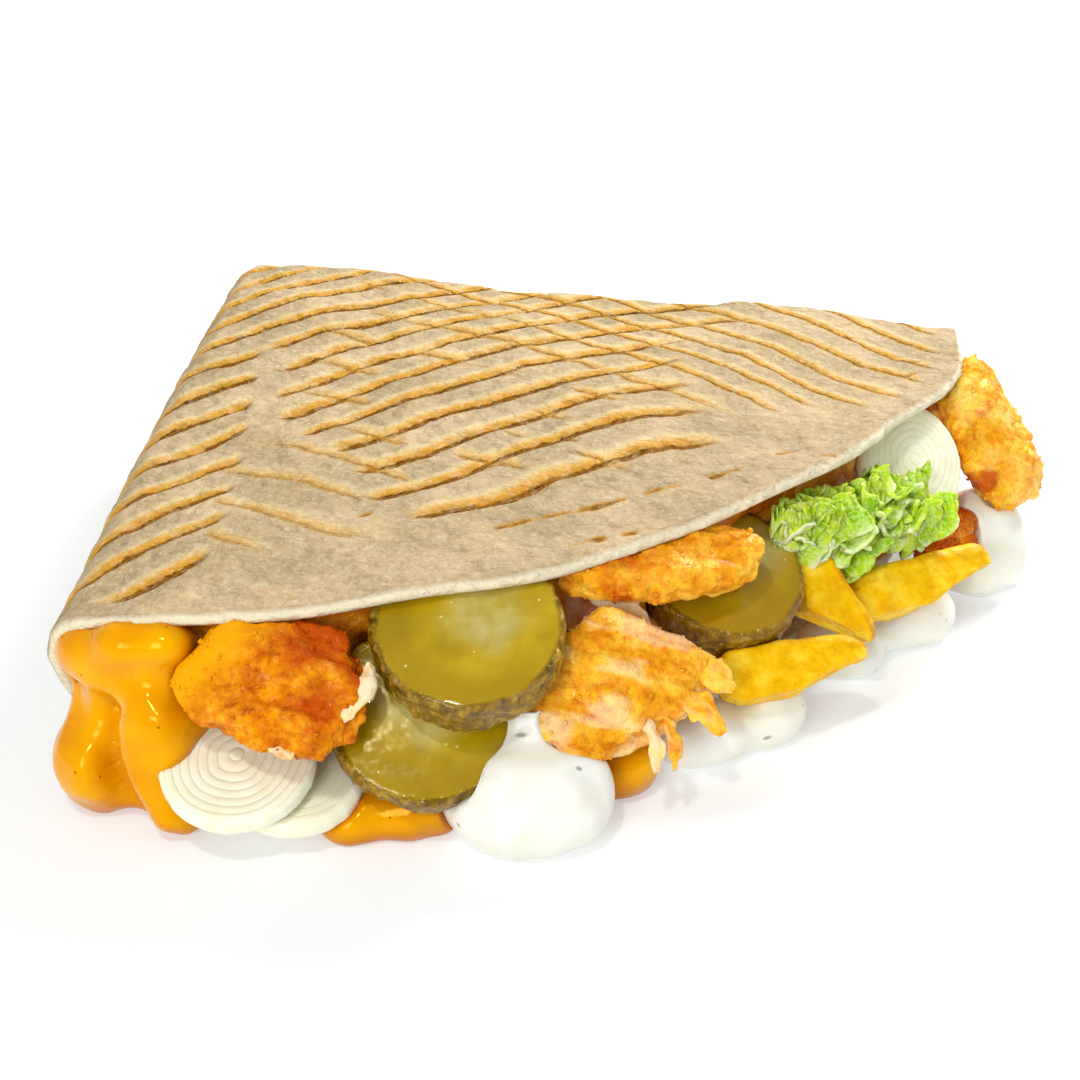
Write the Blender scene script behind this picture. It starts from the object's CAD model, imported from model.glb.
"""Looks of a chicken doner kebab in a folded grilled flatbread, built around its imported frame.

Lengths are in millimetres until a mesh is made, and Z is up. Shapes are worked out in the
drawing frame of the bread's own formulas, which is moved sideways to give the row frame.
"""
from __future__ import annotations

import logging
import math
from dataclasses import dataclass, field
from enum import Enum
from functools import partial

import bmesh
import bpy
import numpy as np
from mathutils import Matrix, Vector
from mathutils.geometry import delaunay_2d_cdt

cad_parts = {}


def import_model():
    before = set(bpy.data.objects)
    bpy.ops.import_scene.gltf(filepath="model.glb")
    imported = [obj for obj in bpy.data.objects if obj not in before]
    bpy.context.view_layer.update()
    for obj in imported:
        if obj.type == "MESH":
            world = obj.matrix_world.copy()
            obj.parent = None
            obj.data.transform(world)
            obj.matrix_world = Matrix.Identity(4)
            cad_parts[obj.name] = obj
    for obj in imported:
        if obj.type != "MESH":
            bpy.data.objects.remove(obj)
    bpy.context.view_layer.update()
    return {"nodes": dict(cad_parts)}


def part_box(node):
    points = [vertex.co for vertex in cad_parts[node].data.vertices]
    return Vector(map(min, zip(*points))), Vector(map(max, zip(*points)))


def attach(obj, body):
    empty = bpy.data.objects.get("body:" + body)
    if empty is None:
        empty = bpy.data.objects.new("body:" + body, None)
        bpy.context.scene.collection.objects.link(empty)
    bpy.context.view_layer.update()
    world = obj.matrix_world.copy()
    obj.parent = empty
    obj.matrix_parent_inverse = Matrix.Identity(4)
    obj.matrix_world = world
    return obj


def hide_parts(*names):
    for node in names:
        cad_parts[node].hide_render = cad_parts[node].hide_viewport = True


LOG = logging.getLogger("kebab")
MM = 0.001
GRAIN_ROUGHNESS = 0.55
ROOT = "root"
SHIFT = np.array([-9.4228, -18.2336, 0.0])  # from the drawing frame to the row frame


# Numbers and noise


def smooth_step(value: np.ndarray, low: float, high: float) -> np.ndarray:
    """Rises smoothly from 0 at low to 1 at high."""
    share = np.clip((value - low) / (high - low), 0.0, 1.0)
    return share * share * (3.0 - 2.0 * share)


def lattice(cell: np.ndarray, seed: int) -> np.ndarray:
    """A fixed number from -1 to 1 for each whole-number cell.

    Args:
        cell: whole coordinates, one row of three for each point.
        seed: which set of numbers to give.

    Returns:
        One number for each row.
    """
    whole = cell.astype(np.int64)
    mixed = whole[..., 0] * 374761393 + whole[..., 1] * 668265263 + whole[..., 2] * 974634777
    mixed = (mixed + seed * 69069) & 0xFFFFFFFF
    mixed = ((mixed ^ (mixed >> 13)) * 1274126177) & 0xFFFFFFFF
    mixed = (mixed ^ (mixed >> 16)) & 0xFFFFFFFF
    return mixed / 2147483647.5 - 1.0


def noise(points: np.ndarray, size: float, seed: int = 0) -> np.ndarray:
    """Smooth value noise from about -1 to 1, whose bumps are size across.

    Args:
        points: one row for each place.
        size: how wide a bump is, in the same units.
        seed: which noise to give.

    Returns:
        One number for each place.
    """
    place = points / size
    cell = np.floor(place)
    part = place - cell
    blend = part**3 * (part * (part * 6.0 - 15.0) + 10.0)
    total = np.zeros(len(points))
    for corner in range(8):
        step = np.array([corner & 1, (corner >> 1) & 1, (corner >> 2) & 1])
        weight = np.prod(np.where(step, blend, 1.0 - blend), axis=1)
        total += weight * lattice(cell + step, seed)
    return total


def rough_noise(points: np.ndarray, size: float, octaves: int = 3, seed: int = 0) -> np.ndarray:
    """Noise with finer noise added, each octave half as large as the last."""
    return sum(0.5**k * noise(points, size / 2**k, seed + 31 * k) for k in range(octaves))


def gap_to_path(places: np.ndarray, path: tuple[tuple[float, ...], ...]) -> np.ndarray:
    """Distance of each place from a path of straight steps.

    Args:
        places: one row for each place.
        path: the path's corners, with as many coordinates as the places have.

    Returns:
        One distance for each place.
    """
    corners = np.array(path, dtype=float)
    nearest = np.full(len(places), np.inf)
    for start, end in zip(corners, corners[1:]):
        along = end - start
        share = np.clip((places - start) @ along / (along @ along), 0.0, 1.0)
        gap = places - start - share[:, None] * along
        nearest = np.minimum(nearest, np.linalg.norm(gap, axis=1))
    return nearest


def facing(azimuth: float, elevation: float, turn: float = 0.0) -> np.ndarray:
    """Axes of a piece, as columns: along, up and out of its face.

    Args:
        azimuth: way that the face looks, in degrees from +X.
        elevation: how far it looks up, in degrees.
        turn: turn in the face's own plane, in degrees.

    Returns:
        A 3 by 3 rotation.
    """
    a, e = math.radians(azimuth), math.radians(elevation)
    out = Vector((math.cos(e) * math.cos(a), math.cos(e) * math.sin(a), math.sin(e)))
    across = Matrix.Rotation(math.radians(turn), 3, out) @ Vector((-math.sin(a), math.cos(a), 0))
    return np.array([across, out.cross(across), out]).T


# Surfaces


@dataclass
class Surface:
    """A mesh of triangles in the row frame, with named values at its points."""

    points: np.ndarray
    faces: np.ndarray
    values: dict[str, np.ndarray] = field(default_factory=dict)

    def normals(self) -> np.ndarray:
        """Unit normals at the points.

        Returns:
            One unit vector for each point.
        """
        a, b, c = (self.points[self.faces[:, k]] for k in range(3))
        flat = np.cross(b - a, c - a)
        total = np.zeros_like(self.points)
        for axis in range(3):
            for corner in range(3):
                total[:, axis] += np.bincount(
                    self.faces[:, corner], flat[:, axis], minlength=len(self.points)
                )
        return total / np.maximum(np.linalg.norm(total, axis=1, keepdims=True), 1e-12)

    def relax(self, rounds: int, strength: float = 0.5) -> Surface:
        """Moves each point towards the middle of its neighbours, over some rounds.

        Args:
            rounds: how many times.
            strength: share of the way that a point moves.

        Returns:
            This surface.
        """
        pairs = np.concatenate([self.faces[:, [0, 1]], self.faces[:, [1, 2]], self.faces[:, [2, 0]]])
        count = len(self.points)
        near = np.maximum(np.bincount(pairs[:, 0], minlength=count), 1)
        for _ in range(rounds):
            middle = np.stack(
                [
                    np.bincount(pairs[:, 0], self.points[pairs[:, 1], axis], minlength=count) / near
                    for axis in range(3)
                ],
                axis=1,
            )
            self.points = self.points + strength * (middle - self.points)
        return self

    def swell(self, offsets: np.ndarray | float) -> Surface:
        """Moves each point out along its normal."""
        self.points = self.points + self.normals() * np.reshape(offsets, (-1, 1))
        return self

    def above_table(self) -> Surface:
        """Keeps every point at or above the table."""
        self.points[:, 2] = np.maximum(self.points[:, 2], 0.0)
        return self

    def add(self, other: Surface) -> Surface:
        """Adds another surface to this one, as loose pieces of the same mesh.

        Args:
            other: the surface to add.

        Returns:
            This surface.
        """
        start = len(self.points)
        self.points = np.concatenate([self.points, other.points])
        self.faces = np.concatenate([self.faces, other.faces + start])
        for name in set(self.values) | set(other.values):
            mine = self.values.get(name, np.zeros(start))
            theirs = other.values.get(name, np.zeros(len(other.points)))
            self.values[name] = np.concatenate([mine, theirs])
        return self

    def to_mesh(self, name: str) -> bpy.types.Mesh:
        """Makes the Blender mesh, in metres, with its values as point attributes.

        Args:
            name: the mesh's name.

        Returns:
            The mesh.
        """
        mesh = bpy.data.meshes.new(name)
        mesh.vertices.add(len(self.points))
        mesh.vertices.foreach_set("co", (self.points * MM).astype(np.float32).ravel())
        mesh.loops.add(3 * len(self.faces))
        mesh.loops.foreach_set("vertex_index", self.faces.astype(np.int32).ravel())
        mesh.polygons.add(len(self.faces))
        mesh.polygons.foreach_set("loop_start", np.arange(0, 3 * len(self.faces), 3, dtype=np.int32))
        mesh.polygons.foreach_set("use_smooth", np.ones(len(self.faces), dtype=bool))
        mesh.update(calc_edges=True)
        for key, value in self.values.items():
            attribute = mesh.attributes.new(key, "FLOAT", "POINT")
            attribute.data.foreach_set("value", value.astype(np.float32))
        mesh.validate()
        return mesh

    def filled(self, gap: float, voxel: float) -> Surface:
        """The surface with its creases filled, as a thick liquid would round them."""
        grown = even(self.swell(gap).to_mesh("grown"), voxel)
        return grown.relax(4).swell(-gap)


def even(mesh: bpy.types.Mesh, voxel: float) -> Surface:
    """A fine even mesh round a closed one, with what lies inside it left out.

    Args:
        mesh: the mesh in metres, which is used up.
        voxel: size of the new faces.

    Returns:
        The new surface, in millimetres.
    """
    mesh.transform(Matrix.Scale(1 / MM, 4))
    copy = bpy.data.objects.new("working_copy", mesh)
    bpy.context.scene.collection.objects.link(copy)
    remesh = copy.modifiers.new("even", "REMESH")
    remesh.mode = "VOXEL"
    remesh.voxel_size = voxel
    shown = copy.evaluated_get(bpy.context.evaluated_depsgraph_get())
    made = shown.to_mesh()
    made.calc_loop_triangles()
    points = np.zeros(3 * len(made.vertices), dtype=np.float32)
    made.vertices.foreach_get("co", points)
    faces = np.zeros(3 * len(made.loop_triangles), dtype=np.int32)
    made.loop_triangles.foreach_get("vertices", faces)
    shown.to_mesh_clear()
    bpy.data.objects.remove(copy)
    bpy.data.meshes.remove(mesh)
    return Surface(points.reshape(-1, 3).astype(float), faces.reshape(-1, 3))


def fitted(surface: Surface, name: str, finish: Finish, *nodes: str) -> None:
    """Makes a piece of the kebab, which rides on its body and stands for frame nodes.

    Args:
        surface: the piece's shape.
        name: the piece's name.
        finish: what it is made of.
        nodes: the frame nodes that it replaces.
    """
    mesh = surface.to_mesh(name)
    mesh.materials.append(finish.material())
    made = bpy.data.objects.new(name, mesh)
    bpy.context.scene.collection.objects.link(made)
    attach(made, ROOT)
    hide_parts(*nodes)
    LOG.info("%s: %d triangles", name, len(surface.faces))


# Finishes


def linear(colour: str) -> tuple[float, float, float, float]:
    """Turns an sRGB hex colour to linear values.

    Args:
        colour: a hash sign and six hex digits.

    Returns:
        Red, green, blue and alpha.
    """
    parts = [int(colour[k : k + 2], 16) / 255 for k in (1, 3, 5)]
    red, green, blue = (c / 12.92 if c <= 0.04045 else ((c + 0.055) / 1.055) ** 2.4 for c in parts)
    return red, green, blue, 1.0


def per_metre(size: float) -> float:
    """Scale of a pattern whose cells are size across, in millimetres."""
    return 1.0 / (size * MM)


def put(
    tree: bpy.types.NodeTree, kind: str, inputs: dict | tuple = (), **settings: object
) -> bpy.types.Node:
    """Adds a node with its settings and links.

    Args:
        tree: the material's node tree.
        kind: the node's type, without its ShaderNode prefix.
        inputs: a value, node or socket for each input, by name or else in order.
        settings: the node's own settings; stops are a ramp's positions and colours.

    Returns:
        The new node.
    """
    node = tree.nodes.new("ShaderNode" + kind)
    for key, value in settings.items():
        if key != "stops":
            setattr(node, key, value)
            continue
        elements = node.color_ramp.elements
        while len(elements) < len(value):
            elements.new(1.0)
        for element, (position, colour) in zip(elements, value):
            element.position = position
            element.color = linear(colour) if isinstance(colour, str) else (colour,) * 3 + (1.0,)
    for key, value in inputs.items() if isinstance(inputs, dict) else enumerate(inputs):
        socket = node.inputs[key]
        if isinstance(value, bpy.types.Node):
            value = value.outputs[0]
        if isinstance(value, bpy.types.NodeSocket):
            tree.links.new(value, socket)
        else:
            socket.default_value = linear(value) if isinstance(value, str) else value
    return node


@dataclass(frozen=True)
class Finish:
    """What every finish shares: its record slot and the body of its shader."""

    slot: str = "bread"
    roughness: float = 0.5
    ior: float = 1.45
    coat: float = 0.0
    coat_roughness: float = 0.1
    subsurface: float = 0.0
    subsurface_depth: float = 1.0  # mm that light travels inside
    specular: float = 0.25
    tint: str = "#ffffff"  # colour of its own reflection
    scatter: tuple[float, float, float] = (1.0, 0.6, 0.3)

    def material(self) -> bpy.types.Material:
        """Makes the material once, and gives the same one after that.

        Returns:
            The material.
        """
        name = type(self).__name__
        made = bpy.data.materials.get(name)
        if made:
            return made
        made = bpy.data.materials.new(name)
        made.use_nodes = True
        tree = made.node_tree
        tree.nodes.clear()
        place = put(tree, "TexCoord").outputs["Object"]
        shader = put(
            tree,
            "BsdfPrincipled",
            {
                "Roughness": self.roughness,
                "IOR": self.ior,
                "Coat Weight": self.coat,
                "Coat Roughness": self.coat_roughness,
                "Specular IOR Level": self.specular,
                "Subsurface Weight": self.subsurface,
                "Specular Tint": self.tint,
                "Subsurface Radius": self.scatter,
                "Subsurface Scale": self.subsurface_depth * MM,
                **self.paint(tree, place),
            },
        )
        put(tree, "OutputMaterial", {"Surface": shader})
        return made

    def paint(self, tree: bpy.types.NodeTree, place: bpy.types.NodeSocket) -> dict[str, bpy.types.Node]:
        """Adds the colour, gloss and grain of this finish, and gives back what drives the shader.

        Args:
            tree: the material's node tree.
            place: where each point is on the piece.

        Returns:
            What drives the shader's inputs.
        """
        raise NotImplementedError


def grain(place: bpy.types.NodeSocket, size: float, detail: float = 3.0) -> dict[str, object]:
    """Inputs of a noise whose bumps are size across, in millimetres."""
    return {"Vector": place, "Scale": per_metre(size), "Detail": detail, "Roughness": GRAIN_ROUGHNESS}


@dataclass(frozen=True)
class BakedBread(Finish):
    """Thin wheat flatbread, griddled between ridged plates: matt, floury, toasted where pressed."""

    slot: str = "bread"
    roughness: float = 0.75
    specular: float = 0.15
    subsurface: float = 0.08
    subsurface_depth: float = 0.6

    def paint(self, tree: bpy.types.NodeTree, place: bpy.types.NodeSocket) -> dict[str, bpy.types.Node]:
        """Cream crumb, floury bloom, golden grill bands with a dark crease, and a pale torn edge.

        Args:
            tree: the material's node tree.
            place: where each point is on the piece.

        Returns:
            What drives the shader's inputs.
        """
        add = partial(put, tree)
        names = ("puff", "scorch", "dash", "lip", "rib_a", "rib_b", "mark_a", "mark_b")
        at = {name: add("Attribute", attribute_name=name).outputs["Fac"] for name in names}
        blotch = add("TexNoise", grain(place, 16.0))
        colour = add(
            "ValToRGB", (blotch,), stops=((0.32, "#bca57c"), (0.5, "#c6b48a"), (0.68, "#d2c29a"))
        )
        mottle = add(
            "ValToRGB", (add("TexNoise", grain(place, 2.6, 4.0)),), stops=((0.35, 0.155), (0.6, 0.275))
        )
        colour = add("MixRGB", (0.5, colour, mottle), blend_type="OVERLAY")
        toast = add(
            "ValToRGB",
            (add("Math", (add("TexNoise", grain(place, 9.0)), at["puff"]), operation="ADD"),),
            stops=((0.6, 0.0), (0.95, 1.0)),
        )
        colour = add("MixRGB", (add("Math", (toast, 0.2), operation="MULTIPLY"), colour, "#bfa468"))
        # Where the ridges pressed, a golden band lies behind a dark crease.
        wobble = add(
            "Math",
            (add("Math", (add("TexNoise", grain(place, 3.0)), 0.5), operation="SUBTRACT"), 0.08),
            operation="MULTIPLY",
        )
        patchy = add(
            "ValToRGB", (add("TexNoise", grain(place, 5.0, 4.0)),), stops=((0.3, 0.6), (0.5, 1.0))
        )
        grooves = 0.0
        for family, darkness in (("a", 1.0), ("b", 0.2)):
            phase = add(
                "Math", (add("Math", (at["rib_" + family], wobble), operation="ADD"),), operation="FRACT"
            )
            mark = at["mark_" + family]
            crown = add("ValToRGB", (phase,), stops=((0.54, 0.0), (0.64, 0.6), (0.74, 0.5), (0.9, 0.0)))
            colour = add("MixRGB", (add("Math", (crown, mark), operation="MULTIPLY"), colour, "#e6d49e"))
            band = add("ValToRGB", (phase,), stops=((0.47, 0.0), (0.5, 1.0), (0.64, 0.85), (0.78, 0.0)))
            gold = add(
                "Math", (band, add("Math", (mark, patchy), operation="MULTIPLY")), operation="MULTIPLY"
            )
            colour = add("MixRGB", (gold, colour, "#cb9226"))
            crease = add(
                "ValToRGB", (phase,), stops=((0.488, 0.0), (0.505, 1.0), (0.528, 0.85), (0.552, 0.0))
            )
            dark = add(
                "Math",
                (crease, add("Math", (mark, darkness), operation="MULTIPLY")),
                operation="MULTIPLY",
            )
            colour = add("MixRGB", (dark, colour, "#84500e"))
            grooves = add(
                "Math", (grooves, add("Math", (crease, mark), operation="MULTIPLY")), operation="ADD"
            )
        spots = add(
            "ValToRGB", (add("TexNoise", grain(place, 6.5, 4.0)),), stops=((0.7, 0.0), (0.78, 0.8))
        )
        spots = add("Math", (spots, at["scorch"]), operation="MULTIPLY")
        dashes = add(
            "Math",
            (
                at["dash"],
                add("Math", (add("TexNoise", grain(place, 2.2, 4.0)), 0.5), operation="SUBTRACT"),
            ),
            operation="ADD",
        )
        colour = add("MixRGB", (spots, colour, "#a8741e"))
        colour = add(
            "MixRGB", (add("ValToRGB", (dashes,), stops=((0.4, 0.0), (0.7, 0.9))), colour, "#b5801f")
        )
        colour = add(
            "MixRGB", (add("ValToRGB", (dashes,), stops=((0.8, 0.0), (1.0, 0.85))), colour, "#704308")
        )
        # Flour is a finer dust than this, and is drawn in specks of a millimetre so that it shows.
        flour = add(
            "ValToRGB", (add("TexNoise", grain(place, 1.1, 5.0)),), stops=((0.5, 0.0), (0.75, 1.0))
        )
        colour = add("MixRGB", (add("Math", (flour, 0.3), operation="MULTIPLY"), colour, "#ece4cc"))
        colour = add("MixRGB", (at["lip"], colour, "#e2d7b8"))
        long_grain = add("Mapping", {"Vector": place, "Scale": (0.7, 1.0, 1.0)}).outputs[0]
        normal = add(
            "Bump", {"Height": add("TexNoise", grain(long_grain, 2.0, 3.0)), "Distance": 1.3 * MM}
        )
        hollows = add("TexVoronoi", {"Vector": place, "Scale": per_metre(3.2)}, feature="SMOOTH_F1")
        normal = add(
            "Bump",
            {
                "Height": hollows.outputs["Distance"],
                "Distance": 0.9 * MM,
                "Normal": normal,
                "Strength": 0.8,
            },
        )
        normal = add(
            "Bump",
            {"Height": add("TexNoise", grain(place, 0.6, 3.0)), "Distance": 0.14 * MM, "Normal": normal},
        )
        normal = add(
            "Bump",
            {
                "Height": add("Math", (1.0, grooves), operation="SUBTRACT"),
                "Distance": 0.6 * MM,
                "Normal": normal,
            },
        )
        return {"Base Color": colour, "Normal": normal}


@dataclass(frozen=True)
class RoastChicken(Finish):
    """Spit-roasted chicken: marinated, oily, golden with red-brown patches and scorched tips."""

    slot: str = "chicken"
    specular: float = 0.24
    tint: str = "#ffc458"
    coat: float = 0.08
    coat_roughness: float = 0.08
    subsurface: float = 0.05
    subsurface_depth: float = 1.0

    def paint(self, tree: bpy.types.NodeTree, place: bpy.types.NodeSocket) -> dict[str, bpy.types.Node]:
        """Golden meat whose colour follows the gold, char, pale and sauce values at its points.

        Args:
            tree: the material's node tree.
            place: where each point is on the piece.

        Returns:
            What drives the shader's inputs.
        """
        add = partial(put, tree)
        names = ("gold", "char", "pale", "sauce")
        at = {name: add("Attribute", attribute_name=name).outputs["Fac"] for name in names}
        warm = add("TexNoise", grain(place, 5.0, 5.0))
        deep = add(
            "ValToRGB",
            (warm,),
            stops=((0.3, "#a84c02"), (0.45, "#cf7a02"), (0.6, "#eaa008"), (0.75, "#f6bc38")),
        )
        light = add(
            "ValToRGB",
            (warm,),
            stops=((0.3, "#e69c0c"), (0.45, "#f6c02c"), (0.6, "#fcd658"), (0.75, "#fde698")),
        )
        colour = add("MixRGB", (at["gold"], deep, light))
        fine = add(
            "ValToRGB",
            (add("TexNoise", grain(place, 1.2, 5.0)),),
            stops=((0.35, "#6e3c0c"), (0.6, "#d8b468")),
        )
        colour = add("MixRGB", (0.5, colour, fine), blend_type="OVERLAY")
        char = add(
            "Math",
            (
                at["char"],
                add("Math", (add("TexNoise", grain(place, 3.0, 4.0)), 0.5), operation="SUBTRACT"),
            ),
            operation="ADD",
        )
        colour = add(
            "MixRGB", (add("ValToRGB", (char,), stops=((0.45, 0.0), (0.95, 0.85))), colour, "#c04606")
        )
        colour = add("MixRGB", (at["pale"], colour, "#f6e2bc"))
        colour = add("MixRGB", (at["sauce"], colour, "#f3a404"))
        shine = add(
            "ValToRGB", (add("TexNoise", grain(place, 2.0, 3.0)),), stops=((0.4, 0.16), (0.65, 0.5))
        )
        # Its torn, oily grain breaks up the highlights.
        normal = add("Bump", {"Height": add("TexNoise", grain(place, 1.5, 5.0)), "Distance": 0.6 * MM})
        normal = add(
            "Bump",
            {"Height": add("TexNoise", grain(place, 0.45, 3.0)), "Distance": 0.16 * MM, "Normal": normal},
        )
        return {"Base Color": colour, "Roughness": shine, "Normal": normal}


@dataclass(frozen=True)
class Gherkin(Finish):
    """Pickled gherkin: wet translucent flesh, olive yellow, in a warty dark skin."""

    slot: str = "pickle"
    roughness: float = 0.2
    specular: float = 0.3
    tint: str = "#fff0b8"
    coat: float = 0.4
    coat_roughness: float = 0.04
    subsurface: float = 0.3
    subsurface_depth: float = 2.0
    scatter: tuple[float, float, float] = (1.0, 0.8, 0.2)

    def paint(self, tree: bpy.types.NodeTree, place: bpy.types.NodeSocket) -> dict[str, bpy.types.Node]:
        """Flesh that lightens towards its seeds, and a brown-olive rind with pale warts.

        Args:
            tree: the material's node tree.
            place: where each point is on the piece.

        Returns:
            What drives the shader's inputs.
        """
        add = partial(put, tree)
        names = ("core", "edge", "rind", "shade")
        at = {name: add("Attribute", attribute_name=name).outputs["Fac"] for name in names}
        flesh = add(
            "ValToRGB",
            (add("TexNoise", grain(place, 9.0, 3.0)),),
            stops=((0.3, "#9c7f04"), (0.5, "#b29308"), (0.7, "#c2a81e")),
        )
        seeds = add(
            "ValToRGB",
            (add("TexNoise", grain(place, 5.0, 3.0)),),
            stops=((0.35, "#b8a43a"), (0.65, "#d2ce8c")),
        )
        flesh = add("MixRGB", (add("Math", (at["core"], 0.7), operation="MULTIPLY"), flesh, seeds))
        flesh = add("MixRGB", (add("Math", (at["edge"], 0.7), operation="MULTIPLY"), flesh, "#9a7a04"))
        cells = add("TexVoronoi", {"Vector": place, "Scale": per_metre(2.8)})
        speck = add("ValToRGB", (cells.outputs["Distance"],), stops=((0.05, 0.7), (0.11, 0.0)))
        chosen = add("ValToRGB", (cells.outputs["Color"],), stops=((0.56, 0.0), (0.58, 1.0)))
        flesh = add("MixRGB", (add("Math", (speck, chosen), operation="MULTIPLY"), flesh, "#f0e2a0"))
        skin = add(
            "ValToRGB",
            (add("TexNoise", grain(place, 2.0, 4.0)),),
            stops=((0.3, "#4e3802"), (0.5, "#846006"), (0.68, "#b08c1c")),
        )
        colour = add("MixRGB", (at["rind"], flesh, skin))
        colour = add("MixRGB", (at["shade"], colour, "#8a5a02"))
        normal = add("Bump", {"Height": add("TexNoise", grain(place, 5.0, 2.0)), "Distance": 0.3 * MM})
        rough = add("Math", (add("TexNoise", grain(place, 1.1, 3.0)), at["rind"]), operation="MULTIPLY")
        normal = add("Bump", {"Height": rough, "Distance": 0.9 * MM, "Normal": normal})
        return {"Base Color": colour, "Normal": normal}


@dataclass(frozen=True)
class RawOnion(Finish):
    """Sliced white onion: crisp, wet, with thin grey-green lines between its layers."""

    slot: str = "onion"
    roughness: float = 0.32
    specular: float = 0.3
    subsurface: float = 0.25
    subsurface_depth: float = 2.0

    def paint(self, tree: bpy.types.NodeTree, place: bpy.types.NodeSocket) -> dict[str, bpy.types.Node]:
        """Cream layers whose joins are drawn from the ring value at its points.

        Args:
            tree: the material's node tree.
            place: where each point is on the piece.

        Returns:
            What drives the shader's inputs.
        """
        add = partial(put, tree)
        at = {name: add("Attribute", attribute_name=name).outputs["Fac"] for name in ("ring", "face")}
        colour = add(
            "ValToRGB",
            (add("TexNoise", grain(place, 5.0, 4.0)),),
            stops=((0.3, "#eeebcc"), (0.7, "#f6f5e2")),
        )
        ring = add("Math", (at["ring"],), operation="FRACT")
        tint = add("ValToRGB", (ring,), stops=((0.0, 0.4), (0.3, 0.0), (0.8, 0.0), (1.0, 0.4)))
        on_face = at["face"]
        colour = add("MixRGB", (add("Math", (tint, on_face), operation="MULTIPLY"), colour, "#eceacb"))
        line = add("ValToRGB", (ring,), stops=((0.0, 1.0), (0.06, 0.0), (0.94, 0.0), (1.0, 1.0)))
        broken = add(
            "ValToRGB", (add("TexNoise", grain(place, 1.2, 3.0)),), stops=((0.4, 0.2), (0.6, 0.6))
        )
        line = add(
            "Math", (line, add("Math", (on_face, broken), operation="MULTIPLY")), operation="MULTIPLY"
        )
        colour = add("MixRGB", (line, colour, "#aeae8e"))
        height = add("ValToRGB", (ring,), stops=((0.0, 0.0), (0.12, 1.0), (0.9, 0.8), (1.0, 0.0)))
        normal = add("Bump", {"Height": height, "Distance": 0.08 * MM, "Strength": 0.8})
        normal = add(
            "Bump",
            {"Height": add("TexNoise", grain(place, 0.5, 3.0)), "Distance": 0.06 * MM, "Normal": normal},
        )
        return {"Base Color": colour, "Normal": normal}


@dataclass(frozen=True)
class FriedPotato(Finish):
    """Deep-fried potato: a thin crisp yellow skin, browner on its edges and tips."""

    slot: str = "chip"
    roughness: float = 0.42
    specular: float = 0.24
    tint: str = "#ffdc70"
    subsurface: float = 0.15
    subsurface_depth: float = 1.5

    def paint(self, tree: bpy.types.NodeTree, place: bpy.types.NodeSocket) -> dict[str, bpy.types.Node]:
        """Saturated yellow with golden mottling, brown where the edge value is high.

        Args:
            tree: the material's node tree.
            place: where each point is on the piece.

        Returns:
            What drives the shader's inputs.
        """
        add = partial(put, tree)
        at = {name: add("Attribute", attribute_name=name).outputs["Fac"] for name in ("edge",)}
        colour = add(
            "ValToRGB",
            (add("TexNoise", grain(place, 4.5, 4.0)),),
            stops=((0.3, "#dca604"), (0.5, "#ebc00a"), (0.72, "#f5d844")),
        )
        fine = add(
            "ValToRGB",
            (add("TexNoise", grain(place, 0.9, 4.0)),),
            stops=((0.3, "#9a7420"), (0.6, "#c8b060")),
        )
        colour = add("MixRGB", (0.3, colour, fine), blend_type="OVERLAY")
        brown = add(
            "Math",
            (
                at["edge"],
                add("Math", (add("TexNoise", grain(place, 2.0, 4.0)), 0.5), operation="SUBTRACT"),
            ),
            operation="ADD",
        )
        colour = add(
            "MixRGB", (add("ValToRGB", (brown,), stops=((0.5, 0.0), (1.0, 0.85))), colour, "#cc820a")
        )
        normal = add("Bump", {"Height": add("TexNoise", grain(place, 1.2, 4.0)), "Distance": 0.3 * MM})
        normal = add(
            "Bump",
            {"Height": add("TexNoise", grain(place, 0.35, 3.0)), "Distance": 0.07 * MM, "Normal": normal},
        )
        return {"Base Color": colour, "Normal": normal}


@dataclass(frozen=True)
class CheeseSauce(Finish):
    """Warm processed cheese sauce: thick, opaque, very smooth and glossy."""

    slot: str = "cheese_sauce"
    roughness: float = 0.12
    specular: float = 0.5
    tint: str = "#ffc850"
    coat: float = 0.04
    coat_roughness: float = 0.05
    subsurface: float = 0.1
    subsurface_depth: float = 1.5

    def paint(self, tree: bpy.types.NodeTree, place: bpy.types.NodeSocket) -> dict[str, bpy.types.Node]:
        """Yellow-orange, deeper in its folds, with a few dark spice specks.

        Args:
            tree: the material's node tree.
            place: where each point is on the piece.

        Returns:
            What drives the shader's inputs.
        """
        add = partial(put, tree)
        colour = add(
            "ValToRGB",
            (add("TexNoise", grain(place, 12.0, 2.0)),),
            stops=((0.3, "#dc8e00"), (0.5, "#e49c00"), (0.7, "#ecaa00")),
        )
        cells = add("TexVoronoi", {"Vector": place, "Scale": per_metre(2.6)})
        speck = add("ValToRGB", (cells.outputs["Distance"],), stops=((0.06, 1.0), (0.12, 0.0)))
        chosen = add("ValToRGB", (cells.outputs["Color"],), stops=((0.58, 0.0), (0.6, 1.0)))
        colour = add("MixRGB", (add("Math", (speck, chosen), operation="MULTIPLY"), colour, "#8c4606"))
        fold = add("AmbientOcclusion", {"Distance": 9.0 * MM}, samples=6)
        colour = add(
            "MixRGB",
            (add("ValToRGB", (fold.outputs["AO"],), stops=((0.3, 0.9), (0.85, 0.0))), colour, "#b86200"),
        )
        normal = add("Bump", {"Height": add("TexNoise", grain(place, 5.0, 2.0)), "Distance": 0.3 * MM})
        return {"Base Color": colour, "Normal": normal}


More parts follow.
